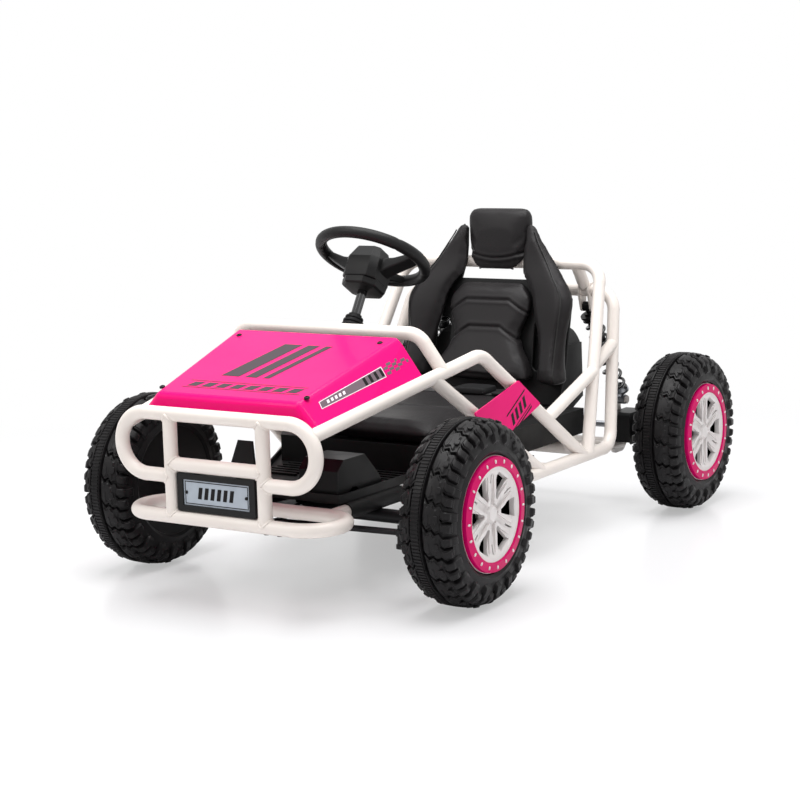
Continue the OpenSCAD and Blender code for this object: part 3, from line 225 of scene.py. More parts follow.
def makePiece(name, parts, body, finishName, smoothAngle=40):
    # joins closed parts into one mesh in place and lets it ride on its body
    bases = np.cumsum([0] + [len(flat) for flat, _ in parts])
    sets = [f + base for (_, faces), base in zip(parts, bases) for f in faces]
    points, corners = np.vstack([flat for flat, _ in parts]), np.concatenate([f.ravel() for f in sets])
    sizes = np.concatenate([np.full(len(f), f.shape[1]) for f in sets])
    mesh = bpy.data.meshes.new(name)
    mesh.vertices.add(len(points))
    mesh.vertices.foreach_set("co", points.ravel())
    mesh.loops.add(len(corners))
    mesh.loops.foreach_set("vertex_index", corners.astype(np.int32))
    mesh.polygons.add(len(sizes))
    mesh.polygons.foreach_set("loop_start", np.concatenate([[0], np.cumsum(sizes)[:-1]]).astype(np.int32))
    mesh.polygons.foreach_set("use_smooth", np.ones(len(sizes), bool))
    mesh.update(calc_edges=True)
    mesh.validate()
    if smoothAngle < 180:
        mesh.set_sharp_from_angle(angle=math.radians(smoothAngle))
    piece = bpy.data.objects.new(name, mesh)
    bpy.context.scene.collection.objects.link(piece)
    return settle(piece, body, finishName)


def settle(piece, body, finishName):
    # gives a piece its finish and its body
    piece.data.materials.clear()
    piece.data.materials.append(finishes[finishName])
    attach(piece, body)
    return piece


def spline(knots, count):
    # Catmull-Rom curve through the knots, count points evenly spread over the spans
    knots = np.asarray(knots, float)
    padded = np.vstack([2 * knots[0] - knots[1], knots, 2 * knots[-1] - knots[-2]])
    t = np.linspace(0, len(knots) - 1, count)
    i = np.minimum(t.astype(int), len(knots) - 2)
    u = (t - i)[:, None]
    a, b, c, d = padded[i], padded[i + 1], padded[i + 2], padded[i + 3]
    return 0.5 * (2 * b + (c - a) * u + (2 * a - 5 * b + 4 * c - d) * u ** 2
        + (3 * b - a - 3 * c + d) * u ** 3)


def unit(v):
    v = np.asarray(v, float)
    return v / np.linalg.norm(v, axis=-1, keepdims=True)


def tubeAlong(path, radius, sides=12, closed=False, reference=(0, 0, 1)):
    # a circle carried along a path; its start direction comes from the reference
    path = np.asarray(path, float)
    tangent = unit((np.roll(path, -1, 0) - np.roll(path, 1, 0)) if closed else np.gradient(path, axis=0))
    sideways = unit(np.cross(tangent, np.asarray(reference, float)))
    upward = np.cross(sideways, tangent)
    angle = np.linspace(0, 2 * np.pi, sides, endpoint=False)[None, :, None]
    radius = np.broadcast_to(radius, (len(path),))[:, None, None]
    return closedGrid(path[:, None]
        + radius * (np.cos(angle) * sideways[:, None] + np.sin(angle) * upward[:, None]), closed)


def superRing(count, power):
    # one turn of a superellipse with half sizes 1: cosine and sine raised to 2 / power, signs kept
    angle = np.linspace(0, 2 * np.pi, count, endpoint=False)
    c, s = np.cos(angle), np.sin(angle)
    return np.sign(c) * np.abs(c) ** (2 / power), np.sign(s) * np.abs(s) ** (2 / power)


def buttons(centres, outAxes, sideAxes, sizes, profile, sides=10, power=2.0):
    # bosses on a surface: sizes are (side, across, out), profile rows are shares of (width, height)
    c, s = superRing(sides, power)
    third = np.cross(outAxes, sideAxes)
    wide, high = np.array(profile)[:, :1], np.array(profile)[:, 1:]
    a, b, up = sizes[0] * wide * c, sizes[1] * wide * s, sizes[2] * high + 0 * c
    return [closedGrid(p + a[..., None] * side + b[..., None] * other + up[..., None] * out)
        for p, out, side, other in zip(centres, outAxes, sideAxes, third)]


domed = [(1.0, -0.5), (1.0, 0.25), (0.88, 0.68), (0.55, 0.94), (0.2, 1.0)]
flatTopped = [(1.0, -0.6), (1.0, 0.75), (0.9, 1.0), (0.4, 1.0)]

tyreSizes = {
    "pitches": 21, "blockDepth": 8.0, "shoulderDepth": 9.5, "border": 2.3, "ribs": 156, "ribRise": 1.5,
    "band": (1.2, 15.6), "rows": 38,
    # outline of the block tops: radius and distance from the middle plane, in mm
    "crown": [(144.5, 1.6), (144.5, 9), (143.8, 16), (142.3, 23), (140, 30), (136, 37), (130.5, 42.8),
        (123, 46.9), (115, 49.0), (107, 49.7)],
    # path of the groove between two blocks: distance from the middle plane in mm, turn in shares of a pitch
    "groove": [(0, 0.0), (5, 0.03), (12, 0.26), (19, 0.15), (24, 0.34), (31, 0.26), (36, 0.42), (52, 0.46)],
    # phases of the columns in half a pitch, closer together at the groove walls
    "phases": [0, 0.03, 0.045, 0.06, 0.075, 0.092, 0.11, 0.14, 0.19, 0.25, 0.31, 0.37, 0.41, 0.435, 0.455,
        0.475, 0.5],
}


def wheelPoints(side, axleY, radius, angle, out):
    # wheel coordinates in mm to the kart's frame; out is along the axle, away from the kart
    x = side * (309 + out) * mm
    y = axleY + radius * np.sin(angle) * mm
    z = 0.145 - radius * np.cos(angle) * mm
    return np.stack(np.broadcast_arrays(x, y, z), -1)


def crownRows(start):
    # the crown's outline from a distance off the middle plane outwards, with its outward normals
    fine = spline(tyreSizes["crown"], 300)
    fine = fine[fine[:, 1] >= start]
    at = np.linspace(0, len(fine) - 1, tyreSizes["rows"])
    crown = np.stack([np.interp(at, np.arange(len(fine)), fine[:, k]) for k in (0, 1)], -1)
    slope = unit(np.gradient(crown, axis=0))
    return crown, np.stack([slope[:, 1], -slope[:, 0]], -1)


def tread(side, axleY, flank, start):
    # block tops are the crown; the height drops over each groove's walls, columns follow the stepped groove
    t = tyreSizes
    crown, normal = crownRows(start)
    half = np.array(t["phases"])
    phase = np.concatenate([half, 1 - half[-2:0:-1]])
    near, mid = np.minimum(phase, 1 - phase)[None, :], np.abs(phase - 0.5)[None, :]
    reach = crown[:, 1:]
    shoulder = np.interp(reach, [31, 35.5], [0, 1])
    level = np.clip((near - 0.042 - 0.03 * shoulder) / 0.034, 0, 1) ** 0.6
    notch = np.clip((mid - 0.022) / 0.034, 0, 1) ** 0.6
    level = level * (1 - shoulder * (1 - notch))
    # every second shoulder lug ends short of the bead
    short = np.clip((reach - 46.5) / 1.5, 0, 1) * (phase > 0.5)
    level = level * (1 - short)
    at = [0, 1.1, t["rows"] - 3.5, t["rows"] - 1]
    ends = np.interp(np.arange(t["rows"]), at, [0.0, 1, 1, 0.0])[:, None]
    # a raised plateau on each block, and one on each shoulder lug, above a lower border
    block = np.interp(reach, [6, 7.5, 25.5, 27], [0, 1, 1, 0]) * np.clip((near - 0.15) / 0.035, 0, 1)
    lug = (np.interp(reach, [32, 33.5, 44, 45.5], [0, 1, 1, 0])
        * np.clip((0.16 - np.abs(mid - 0.25)) / 0.035, 0, 1))
    step = t["border"] * (1 - np.maximum(block, lug))
    deep = np.interp(reach, [start, 28, 40, 50], [t["blockDepth"], t["blockDepth"], t["shoulderDepth"], 7])
    sink = deep - (deep - step) * level * ends
    radius, out = crown[:, :1] - sink * normal[:, :1], reach - sink * normal[:, 1:]
    turn = np.interp(reach, *np.array(t["groove"]).T)
    angle = (np.arange(t["pitches"])[:, None] + phase).ravel()[None, :] + turn + (0.5 if flank > 0 else 0)
    angle = angle * 2 * np.pi / t["pitches"]
    radius, out = np.tile(radius, (1, t["pitches"])), np.tile(out, (1, t["pitches"]))
    # rows go back under the tread, so the strip is a closed ring
    back = slice(None, None, -6)
    radius = np.vstack([radius, crown[back, :1] - 13 * normal[back, :1] + 0 * angle[:1]])
    out = np.vstack([out, crown[back, 1:] - 13 * normal[back, 1:] + 0 * angle[:1]])
    return closedGrid(wheelPoints(side, axleY, radius, np.vstack([angle, angle[back]]), flank * out), True)


def treadPads(side, axleY, flank, reach, phase, sizes):
    # raised pads in the middle of the blocks, square to the crown
    t = tyreSizes
    crown, normal = crownRows(1.6)
    k = np.argmin(np.abs(crown[:, 1] - reach))
    turn = np.interp(reach, *np.array(t["groove"]).T) + phase + (0.5 if flank > 0 else 0)
    angle = (np.arange(t["pitches"]) + turn) * 2 * np.pi / t["pitches"]
    centre = wheelPoints(side, axleY, crown[k, 0], angle, flank * crown[k, 1])
    out = unit(wheelPoints(side, axleY, crown[k, 0] + normal[k, 0], angle,
        flank * (crown[k, 1] + normal[k, 1])) - centre)
    along = unit(wheelPoints(side, axleY, crown[k, 0], angle + 0.01, flank * crown[k, 1]) - centre)
    return buttons(centre, out, along, [s * mm for s in sizes], flatTopped, 10, 3.0)


def turned(side, axleY, outline, count=120):
    # a closed outline (radius, out) turned round the axle
    outline = np.asarray(outline, float)
    angle = np.linspace(0, 2 * np.pi, count, endpoint=False)[:, None]
    return closedGrid(wheelPoints(side, axleY, outline[None, :, 0], angle, outline[None, :, 1]), True)


def ribbedBand(side, axleY, flank):
    # ribs across the band beside the mould seam: height steps up and down with the angle, closed underneath
    t = tyreSizes
    phase, high = np.array([0.0, 0.1, 0.16, 0.5, 0.58, 0.68]), np.array([0, 0, 1, 1, 0.6, 0])
    angle = ((np.arange(t["ribs"])[:, None] + phase).ravel() * 2 * np.pi / t["ribs"])[:, None]
    rise = np.tile(high, t["ribs"])[:, None] * t["ribRise"]
    low, far = t["band"]
    out = flank * np.array([low, low + 0.5, far - 0.5, far, far, low])[None, :]
    base = np.array([142.6, 143.2, 142.9, 142.2, 134, 134])[None, :]
    return closedGrid(wheelPoints(side, axleY, base + rise * np.array([0.0, 1, 1, 0, 0, 0]), angle, out),
        True)


carcass = np.array([(90.6, 38.5), (92, 42), (97, 44.6), (102, 43.6), (110, 41.4), (120, 38.2), (128.5, 34),
    (132.6, 28), (135, 21), (136.4, 12), (136.8, 2.4),
    (142.8, 1.9), (144.6, 1.2), (144.8, 0.5), (141.6, 0.2), (141.6, -0.4), (142.6, -0.9), (142.2, -15.8),
    (135.6, -16.4), (135, -21), (132.6, -28),
    (128.5, -34), (120, -38.2), (110, -41.4), (102, -43.6), (97, -44.6), (92, -42), (90.6, -38.5),
    (97, -30), (119, -26), (123, 0), (119, 26), (97, 30)])
web = [(6.4, -41), (92.5, -41), (94, -39.5), (94, -36.5), (92.5, -35), (30, -35), (26, -33), (19, -26),
    (19, 22), (6.4, 22)]
for label, side, axleY, body in (("fl", 1, frontAxle, "wheel_front_left"),
        ("fr", -1, frontAxle, "wheel_front_right"),
        ("rl", 1, rearAxle, "wheel_rear_left"), ("rr", -1, rearAxle, "wheel_rear_right")):
    # the ribbed band lies on the same side of every tyre, as on one mould turned round
    parts = [turned(side, axleY, carcass * (1, side), 144), turned(side, axleY, web, 96),
        ribbedBand(side, axleY, -side), tread(side, axleY, side, 2.6), tread(side, axleY, -side, 17)]
    for flank in (side, -side):
        parts += treadPads(side, axleY, flank, 26, 0.5, (5.5, 4.2, 1.5))
    parts += treadPads(side, axleY, side, 14, 0.62, (8, 2.0, 0.5))
    tyre = makePiece("treadedTyre_" + label, parts, body, "blowMouldedTyre", 35)
    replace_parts(tyre, "tyre_" + label)
    # white studs on the trim ring, longer towards the hub
    k = np.arange(20) * 2 * np.pi / 20
    centres = wheelPoints(side, axleY, 81.0, k, 48.35)
    radial = unit(wheelPoints(side, axleY, 82.0, k, 48.35) - centres)
    studs = buttons(centres, np.tile([side, 0.0, 0.0], (20, 1)), radial, (3.2 * mm, 1.9 * mm, 1.3 * mm), domed)
    makePiece("ringStuds_" + label, studs, body, "whiteNylon", 180)
print("stage 3: tyres and studs")

springSizes = {"outer": 36.0, "wire": 6.0, "turns": 9, "from": 20.3, "to": 181.5, "sides": 12, "perTurn": 40}


def coilSpring(side):
    # a wire circle carried along a helix down the shock's middle line; its ends are closed and lie flat
    s = springSizes
    top, low = np.array([side * 158.0, 342.5, 380.0]), np.array([side * 187.0, 422.5, 197.0])
    down = unit(low - top)
    ex = unit(np.cross(down, [0, 1.0, 0]))
    t = np.linspace(0, 1, int(s["turns"] * s["perTurn"]) + 1)
    # the first and last three quarters of a turn lie closer, as ground end coils do
    rise = np.interp(t * s["turns"], [0, 0.75, s["turns"] - 0.75, s["turns"]], [0, 0.035, 0.965, 1])
    start, end = s["from"] + s["wire"] / 2, s["to"] - s["wire"] / 2
    turn = (2 * np.pi * s["turns"] * t)[:, None]
    path = top + (start + rise * (end - start))[:, None] * down
    path = path + (s["outer"] - s["wire"]) / 2 * (np.cos(turn) * ex + np.sin(turn) * np.cross(down, ex))
    coil = tubeAlong(path * mm, s["wire"] / 2 * mm, s["sides"], reference=down)
    return (top + s["from"] * down) * mm, down, coil


for label, word, side in (("l", "left", 1), ("r", "right", -1)):
    anchor, down, coil = coilSpring(side)
    spring = makePiece("coilSpring_" + label, [coil], "damper_" + word, "springEnamel", 180)
    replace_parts(spring, "spring_" + label)
    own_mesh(spring)
print("stage 4: springs")


def meshArray(mesh, kind="co"):
    # a vertex property of a mesh, one row of three for each vertex
    values = np.empty(len(mesh.vertices) * 3)
    mesh.vertices.foreach_get(kind, values)
    return values.reshape(-1, 3)


def setPoints(mesh, points):
    mesh.vertices.foreach_set("co", points.ravel())
    mesh.update()


def finished(piece):
    # the piece's mesh with its modifiers applied
    made = bpy.data.meshes.new_from_object(piece.evaluated_get(bpy.context.evaluated_depsgraph_get()))
    piece.modifiers.clear()
    old, piece.data = piece.data, made
    bpy.data.meshes.remove(old)


def modified(piece, kind, **settings):
    # one modifier with its settings, applied at once
    modifier = piece.modifiers.new(kind.lower(), kind)
    for key, value in settings.items():
        setattr(modifier, key, value)
    finished(piece)


def blownUp(piece, pressure):
    # the movement of each point when the skin is blown up as cloth for 20 frames without gravity
    start = meshArray(piece.data)
    cloth = piece.modifiers.new("cloth", "CLOTH")
    cloth.settings.use_pressure = True
    cloth.settings.uniform_pressure_force = pressure
    cloth.settings.effector_weights.gravity = 0
    cloth.settings.quality = 4
    cloth.point_cache.frame_start, cloth.point_cache.frame_end = 1, 20
    for step in range(1, 21):
        bpy.context.scene.frame_set(step)
    blown = bpy.data.meshes.new_from_object(piece.evaluated_get(bpy.context.evaluated_depsgraph_get()))
    reach = meshArray(blown) - start
    piece.modifiers.clear()
    bpy.data.meshes.remove(blown)
    bpy.context.scene.frame_set(1)
    return reach


def stuffed(name, node, parts, pad):
    # closed forms remeshed, drawn in, blown up as cloth with a capped reach, then sewn
    piece = makePiece(name, parts, "frame", "leathercloth", 180)
    modified(piece, "REMESH", mode="VOXEL", voxel_size=pad["voxel"] * mm)
    start = meshArray(piece.data) - pad["drawIn"] * mm * meshArray(piece.data, "normal")
    setPoints(piece.data, start)
    reach = blownUp(piece, 4)
    far = np.linalg.norm(reach, axis=1)[:, None]
    reach *= np.minimum(1, pad["cap"] * mm / np.maximum(far, 1e-9))
    points = (start + reach * pad["free"](start / mm)[:, None]) / mm
    low, high = pad["room"]
    setPoints(piece.data, np.clip(points, low, high) * mm)
    modified(piece, "SUBSURF", levels=1, render_levels=1)
    points = meshArray(piece.data)
    setPoints(piece.data, points + meshArray(piece.data, "normal") * pad["seams"](points / mm)[:, None] * mm)
    piece.data.polygons.foreach_set("use_smooth", np.ones(len(piece.data.polygons), bool))
    settle(piece, "frame", "leathercloth")
    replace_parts(piece, node)
    print("  padded", name, len(piece.data.polygons), "faces")
    return piece


def ramp(value, low, high):
    t = np.clip((value - low) / (high - low), 0, 1)
    return t * t * (3 - 2 * t)


def shellFace(z):
    # the shell's front face behind the padding, y in mm at height z
    return 245 + 0.1763 * (z - 207) - 6.7


def sewn(distance, deep, wide):
    # a sewn channel: a valley with a narrow stitched bottom, beside low welts
    d = np.abs(distance) / wide
    return deep * (0.25 * np.exp(-((d - 2.2) / 0.9) ** 2) - 0.6 * np.exp(-d ** 2)
        - 0.6 * np.exp(-(d / 0.45) ** 2))


def ringLoft(rows, power, shape):
    # superellipse rings, one for each row; shape turns (row columns, cosine, sine) into x, y and z in mm
    c, s = superRing(48, power)
    x, y, z = shape(*(rows[:, k:k + 1] for k in range(rows.shape[1])), c[None, :], s[None, :])
    return closedGrid(np.stack(np.broadcast_arrays(x, y, z), -1) * mm)


def ends(count, share):
    # how full each ring is: it rounds off over the first and last share of the rows
    t = np.linspace(0, 1, count)
    d = np.clip(np.minimum(t, 1 - t) / share, 0, 1)
    return np.sqrt(np.clip(1 - (1 - d) ** 2, 0.02, 1))[:, None]


# base cushion: half width, crown and thickness along y; front edge is a full roll
basePad = {"front": -207.5, "back": 182, "bottom": 208.0, "half": 158, "tall": 35.5, "crown": 4.0}


def baseRings():
    b, n = basePad, 44
    y = np.linspace(b["front"], b["back"], n)[:, None]
    t = (y - b["front"]) / (b["back"] - b["front"])
    rows = np.hstack([y, b["half"] - 8 * t - 3 * np.sin(np.pi * t), ends(n, 0.07)])
    return ringLoft(rows, 4.5, lambda y, half, full, c, s: (c * half * (0.9 + 0.1 * full), y,
        b["bottom"] + b["tall"] / 2 * (1 + s * full)
            + np.maximum(s, 0) * b["crown"] * np.cos(np.pi / 2 * c) * full))


# back cushion: height, half width and thickness in mm
backRows = [(250, 102, 54), (262, 103, 51), (285, 96, 45), (310, 82, 38), (335, 73, 31), (358, 80, 27),
    (380, 87, 24), (404, 85, 21), (420, 72, 17), (429, 64, 12)]


def backRings():
    rows = np.hstack([spline(backRows, 48), ends(48, 0.06)])
    return ringLoft(rows, 4.0, lambda z, half, thick, full, c, s: (c * half * (0.93 + 0.07 * full),
        shellFace(z) - thick / 2 * (1 - s * full), z + 0 * c))


# side pads: height, inner and outer edge, depth in mm; the face slopes inwards from a ridge near the outside
sideRows = [(247, 116, 172, 52), (262, 116, 174, 60), (290, 112, 170, 52), (330, 104, 169, 42),
    (365, 94, 174, 40), (385, 89, 177, 39), (405, 84, 175, 36),
    (425, 73, 165, 31), (440, 62, 153, 26), (458, 56, 139, 21), (478, 56, 122, 18), (505, 60, 100, 17),
    (525, 62, 86, 15), (536, 63, 79, 13)]
ridgeAt = 0.62


def sideRings(side):
    rows = np.hstack([spline(sideRows, 72), ends(72, 0.05)])
    return ringLoft(rows, 2.8, lambda z, near, far, deep, full, c, s: (
        side * ((near + far) / 2 + c * (far - near) / 2 * full),
        shellFace(z) - deep / 2 * (1 - s * full
            * np.where(s < 0, 1 - 0.74 * (np.abs(c - ridgeAt) / 1.62) ** 1.1, 1)),
        z + 0 * c))


# head pad: height above the hoop's middle, share of the half width, front and back faces, in mm
headRows = [(-17, 0.42, -14, -11.6), (-14, 0.60, -16.5, -11.6), (-8, 0.77, -19, -11.6),
    (0, 0.89, -20.6, -11.6), (11, 0.95, -21.6, -11.6), (12.5, 0.955, -21.7, 7),
    (16, 0.96, -22.0, 14), (24, 0.985, -22.3, 18.5), (40, 1, -21.5, 20), (58, 1, -20.5, 21),
    (75, 1, -19, 21), (86, 0.985, -17, 20), (93, 0.94, -13.5, 17.5),
    (98, 0.86, -7.5, 13), (100.6, 0.72, -1, 8)]


def headRings():
    rows = np.array(headRows)
    rows = np.stack([np.interp(np.linspace(0, 14, 57), np.arange(15), rows[:, k]) for k in range(4)], -1)
    return ringLoft(rows, 3.2, lambda up, share, front, back, c, s: (
        c * share * 66.5, 301.7 + (front + back) / 2 + (back - front) / 2 * s, 462.2 + up + 0 * c))


def frontOf(p):
    return ramp(shellFace(p[:, 2]) - p[:, 1], 4, 9)


def backSeams(p):
    # two seams that run level in the middle and fall to the sides, sewn across the face only
    x, z = np.abs(p[:, 0]), p[:, 2]
    upper = z - (397 - 0.62 * np.maximum(0, x - 45))
    lower = z - (349 - 0.62 * np.maximum(0, x - 33))
    return frontOf(p) * (sewn(upper, 2.6, 2.8) + sewn(lower, 2.6, 2.8))


def baseSeams(p):
    top = ramp(p[:, 2], 222, 232)
    return top * (sewn(p[:, 1] - (92 - 0.0008 * p[:, 0] ** 2), 3.0, 3.4)
        + sewn(p[:, 1] + 57 - 0.0004 * p[:, 0] ** 2, 3.0, 3.4))


def headSeams(p):
    # the panel's lower seam sags between the corners; the chin below it is drawn back
    front = ramp(301.7 - p[:, 1], 4, 12)
    line = p[:, 2] - (483 - 12 * (1 - (p[:, 0] / 60) ** 2))
    return front * (sewn(line, 2.2, 2.6) - 2.0 * ramp(-line, 1, 12))


pads = {
    "seatBasePad": ("seat_cushion", [baseRings()], {"voxel": 5, "drawIn": 2.0, "cap": 5, "seams": baseSeams,
        "room": ((-160, -207, 207.9), (160, 183, 247)), "free": lambda p: ramp(p[:, 2], 209, 217)}),
    "seatBackPad": ("back_cushion", [backRings()], {"voxel": 4.5, "drawIn": 1.5, "cap": 4, "seams": backSeams,
        "room": ((-108, 150, 248), (108, 300, 430)), "free": frontOf}),
    "seatSidePads": ("seat_bolsters", [sideRings(1), sideRings(-1)],
        {"voxel": 5, "drawIn": 1.5, "cap": 4, "seams": lambda p: 0 * p[:, 0],
        "room": ((-180.5, 150, 246), (180.5, 320, 544)), "free": frontOf}),
    "headPad": ("head_pad", [headRings()], {"voxel": 4, "drawIn": 1.5, "cap": 4, "seams": headSeams,
        "room": ((-67.5, 276, 444), (67.5, 324, 565)), "free": lambda p: ramp(301.7 - p[:, 1], -14, -6)}),
}
pads = {name: stuffed(name, *given) for name, given in pads.items()}


def onFront(piece, path):
    # moves a path (x, z) in mm on to the front of a piece: the foremost of the points near each of its own
    points = meshArray(piece.data) / mm
    gap = (points[None, :, 0] - path[:, :1]) ** 2 + (points[None, :, 2] - path[:, 1:]) ** 2
    y = np.where(gap < 16, points[None, :, 1], 1e3).min(1)
    y = np.convolve(np.pad(y, 2, mode="edge"), np.ones(5) / 5, "valid")
    return np.stack([path[:, 0], y, path[:, 1]], -1)


# piping cord along the ridge of each side pad
ridge = spline(sideRows, 90)[6:-8]
ridgeX = (ridge[:, 1] * (1 - ridgeAt) + ridge[:, 2] * (1 + ridgeAt)) / 2
cords = [onFront(pads["seatSidePads"], np.stack([side * ridgeX, ridge[:, 0]], -1)) for side in (1, -1)]
cords = [tubeAlong(cord * mm, 1.3 * mm, 10, reference=(1, 0, 0)) for cord in cords]
makePiece("sidePadPiping", cords, "frame", "pipingCord", 180)
print("stage 5: padding")

# moulded seat shell: outline across and up its tilted face, notched for the head pad, and two openings
shellSizes = {"thick": 6.0, "edge": 1.6, "foot": (245.0, 207.3), "tilt": 10.0,
    "outline": [(-148, 0), (148, 0), (158, 60), (162, 195), (140, 232), (112, 270), (82, 308), (74, 322),
        (70, 326), (66, 322), (64, 290), (64, 262),
        (72, 228), (-72, 228), (-64, 262), (-64, 290), (-66, 322), (-70, 326), (-74, 322), (-82, 308),
        (-112, 270), (-140, 232), (-162, 195), (-158, 60)],
    "openings": [[(s * 104 + a, 108 + b) for a, b in ((-15, -38), (-8, -46), (8, -46), (15, -38), (15, 38),
        (8, 46), (-8, 46), (-15, 38))] for s in (1, -1)]}


def seatShell():
    # a flat curve with holes, filled, thickened and rounded at its edges, then leant back
    s = shellSizes
    curve = bpy.data.curves.new("seatShell", "CURVE")
    curve.dimensions, curve.fill_mode = "2D", "BOTH"
    curve.extrude = (s["thick"] / 2 - s["edge"]) * mm
    curve.bevel_depth, curve.bevel_resolution = s["edge"] * mm, 3
    curve.offset = -s["edge"] * mm
    for loop in [s["outline"]] + s["openings"]:
        line = curve.splines.new("POLY")
        line.points.add(len(loop) - 1)
        line.points.foreach_set("co", np.hstack([np.array(loop, float) * mm,
            np.tile([0.0, 1.0], (len(loop), 1))]).ravel())
        line.use_cyclic_u = True
    flat = bpy.data.objects.new("flatShell", curve)
    bpy.context.scene.collection.objects.link(flat)
    mesh = bpy.data.meshes.new_from_object(flat.evaluated_get(bpy.context.evaluated_depsgraph_get()))
    bpy.data.objects.remove(flat)
    u, v, w = (meshArray(mesh) / mm).T
    lean, out = math.radians(s["tilt"]), w + s["thick"] / 2
    setPoints(mesh, np.stack([u, s["foot"][0] + v * math.sin(lean) - out * math.cos(lean),
        s["foot"][1] + v * math.cos(lean) + out * math.sin(lean)], -1) * mm)
    piece = bpy.data.objects.new("seatShell", mesh)
    bpy.context.scene.collection.objects.link(piece)
    modified(piece, "WELD", merge_threshold=1e-5)
    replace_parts(settle(piece, "frame", "texturedPolypropylene"), "seat_shell")


seatShell()


# lap belt: half length, place along y, height of the webbing and of the buckle, section of the webbing, in mm
beltSizes = {"half": 131, "y": 102.5, "tapeZ": 247.3, "buckleZ": 249.4,
    "edge": [(-19.5, 0), (-19.5, 1.6), (-18, 2.0), (18, 2.0), (19.5, 1.6), (19.5, 0)],
    # buckle, tongue and release: middle x, half width, half depth, height
    "blocks": [(57, 33, 26, 10.8), (112, 12, 24, 5.0), (57, 14, 12, 10.95)],
    # how a block narrows towards its top: shares of its half sizes and of its height
    "profile": [(0.9, 0), (1.0, 0.12), (1.0, 0.7), (0.95, 0.92), (0.82, 1.0), (0.4, 1.0)]}


def lapBelt():
    # webbing: a flat section carried across the cushion, raised by two sines; buckle: superellipse rings
    b = beltSizes
    x = np.linspace(-b["half"], b["half"], 60)[:, None]
    edge = np.array(b["edge"])
    wave = 0.7 * np.sin(x / 17) + 0.5 * np.sin(x / 7.3 + 1)
    tape = np.stack([x + 0 * edge[:, 0], b["y"] + edge[:, 0] + 1.2 * np.sin(x / 60),
        b["tapeZ"] + edge[:, 1] + np.maximum(wave, -0.2)], -1)
    strap = makePiece("lapBeltWebbing", [closedGrid(tape * mm)], "frame", "wovenWebbing", 50)
    c, s = superRing(32, 5.0)
    row = np.array(b["profile"])
    parts = [closedGrid(np.stack(np.broadcast_arrays(cx + row[:, :1] * hx * c, b["y"] + row[:, :1] * hy * s,
        b["buckleZ"] + row[:, 1:] * tall), -1) * mm)
        for cx, hx, hy, tall in b["blocks"]]
    makePiece("lapBeltBuckle", parts, "frame", "mouldedRubber", 40)
    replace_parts(strap, "lap_belt")


lapBelt()

helmMiddle, helmTilt = np.array([0, -127.5, 507.0]), math.radians(32)


def helmPoints(x, y, z):
    # steering wheel's own coordinates in mm (z up the column) to the kart's frame
    ny, nz = y * math.cos(helmTilt) + z * math.sin(helmTilt), z * math.cos(helmTilt) - y * math.sin(helmTilt)
    return (np.stack(np.broadcast_arrays(x, ny, nz), -1) + helmMiddle) * mm


def helmLoft(rows, cut):
    # eight-sided rings, corners cut by a share; a row is middle y, half width, half depth, height
    c = np.array([1, 1, 1 - cut, cut - 1, -1, -1, cut - 1, 1 - cut])
    s = np.array([cut - 1, 1 - cut, 1, 1, 1 - cut, cut - 1, -1, -1])
    y, hx, hy, z = (np.array(rows, float)[:, k:k + 1] for k in range(4))
    return closedGrid(helmPoints(hx * c, y + hy * s, z + 0 * c))


# steering wheel: rim radius and thickness, then rows of middle y, half width, half depth and height, in mm
helmSizes = {"rim": 89.9, "thick": 9.7,
    "hub": [(-1, 28, 28, -50), (-1, 31, 32, -49), (-1, 32, 33, -47), (-3, 32, 32, -14), (-3.5, 31, 30, -11),
        (-5, 24, 20, 8),
        (-5, 22.5, 18.5, 9), (-4, 20.5, 17.5, 8.4), (0, 17.5, 17.5, -3.5), (0, 17.2, 17.2, -13)],
    "collar": [(0, 22, 22, -63.5), (0, 30, 30, -62.6), (0, 33, 33, -60), (0, 34, 34, -51), (0, 30, 30, -48)]}


def steeringWheel():
    # rim: a ring with grip swellings; spokes: superellipse sections; hub: a tall faceted box with a dished top
    turn = np.linspace(0, 2 * np.pi, 144, endpoint=False)[:, None]
    section = np.linspace(0, 2 * np.pi, 20, endpoint=False)[None, :]
    sideways = np.abs(np.cos(turn))
    grip = 1 + 0.05 * np.exp(-((sideways - 1) / 0.12) ** 2) - 0.08 * np.exp(-((sideways - 0.84) / 0.018) ** 2)
    thick = helmSizes["thick"] * grip
    radius = helmSizes["rim"] + thick * np.cos(section)
    rim = closedGrid(helmPoints(radius * np.cos(turn), radius * np.sin(turn), thick * np.sin(section)), True)
    hub = helmLoft(helmSizes["hub"], 0.34)
    collar = helmLoft(helmSizes["collar"], 0.5)
    parts = [rim, hub, collar]
    for s in (-1, 1):
        x = np.linspace(26, 84, 14)[:, None]
        c, k = superRing(16, 5.0)
        low, high = np.interp(x, [26, 44, 84], [-38, -27, -7]), np.interp(x, [26, 50, 84], [-6, -5, 5.5])
        parts.append(closedGrid(helmPoints(s * x + 0 * c, 1 + 15.5 * c * np.interp(x, [26, 84], [1, 0.86]),
            (low + high) / 2 + (high - low) / 2 * k)))
    y = np.linspace(22, 84, 14)[:, None]
    c, k = superRing(16, 5.0)
    low, high = np.interp(y, [22, 84], [-32, -6.5]), np.interp(y, [22, 84], [-10, 5.5])
    parts.append(closedGrid(helmPoints(18 * c + 0 * y, y + 0 * c, (low + high) / 2 + (high - low) / 2 * k)))
    piece = makePiece("steeringWheel", parts, "steering", "texturedPolypropylene", 28)
    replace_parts(piece, "steering_wheel")


steeringWheel()


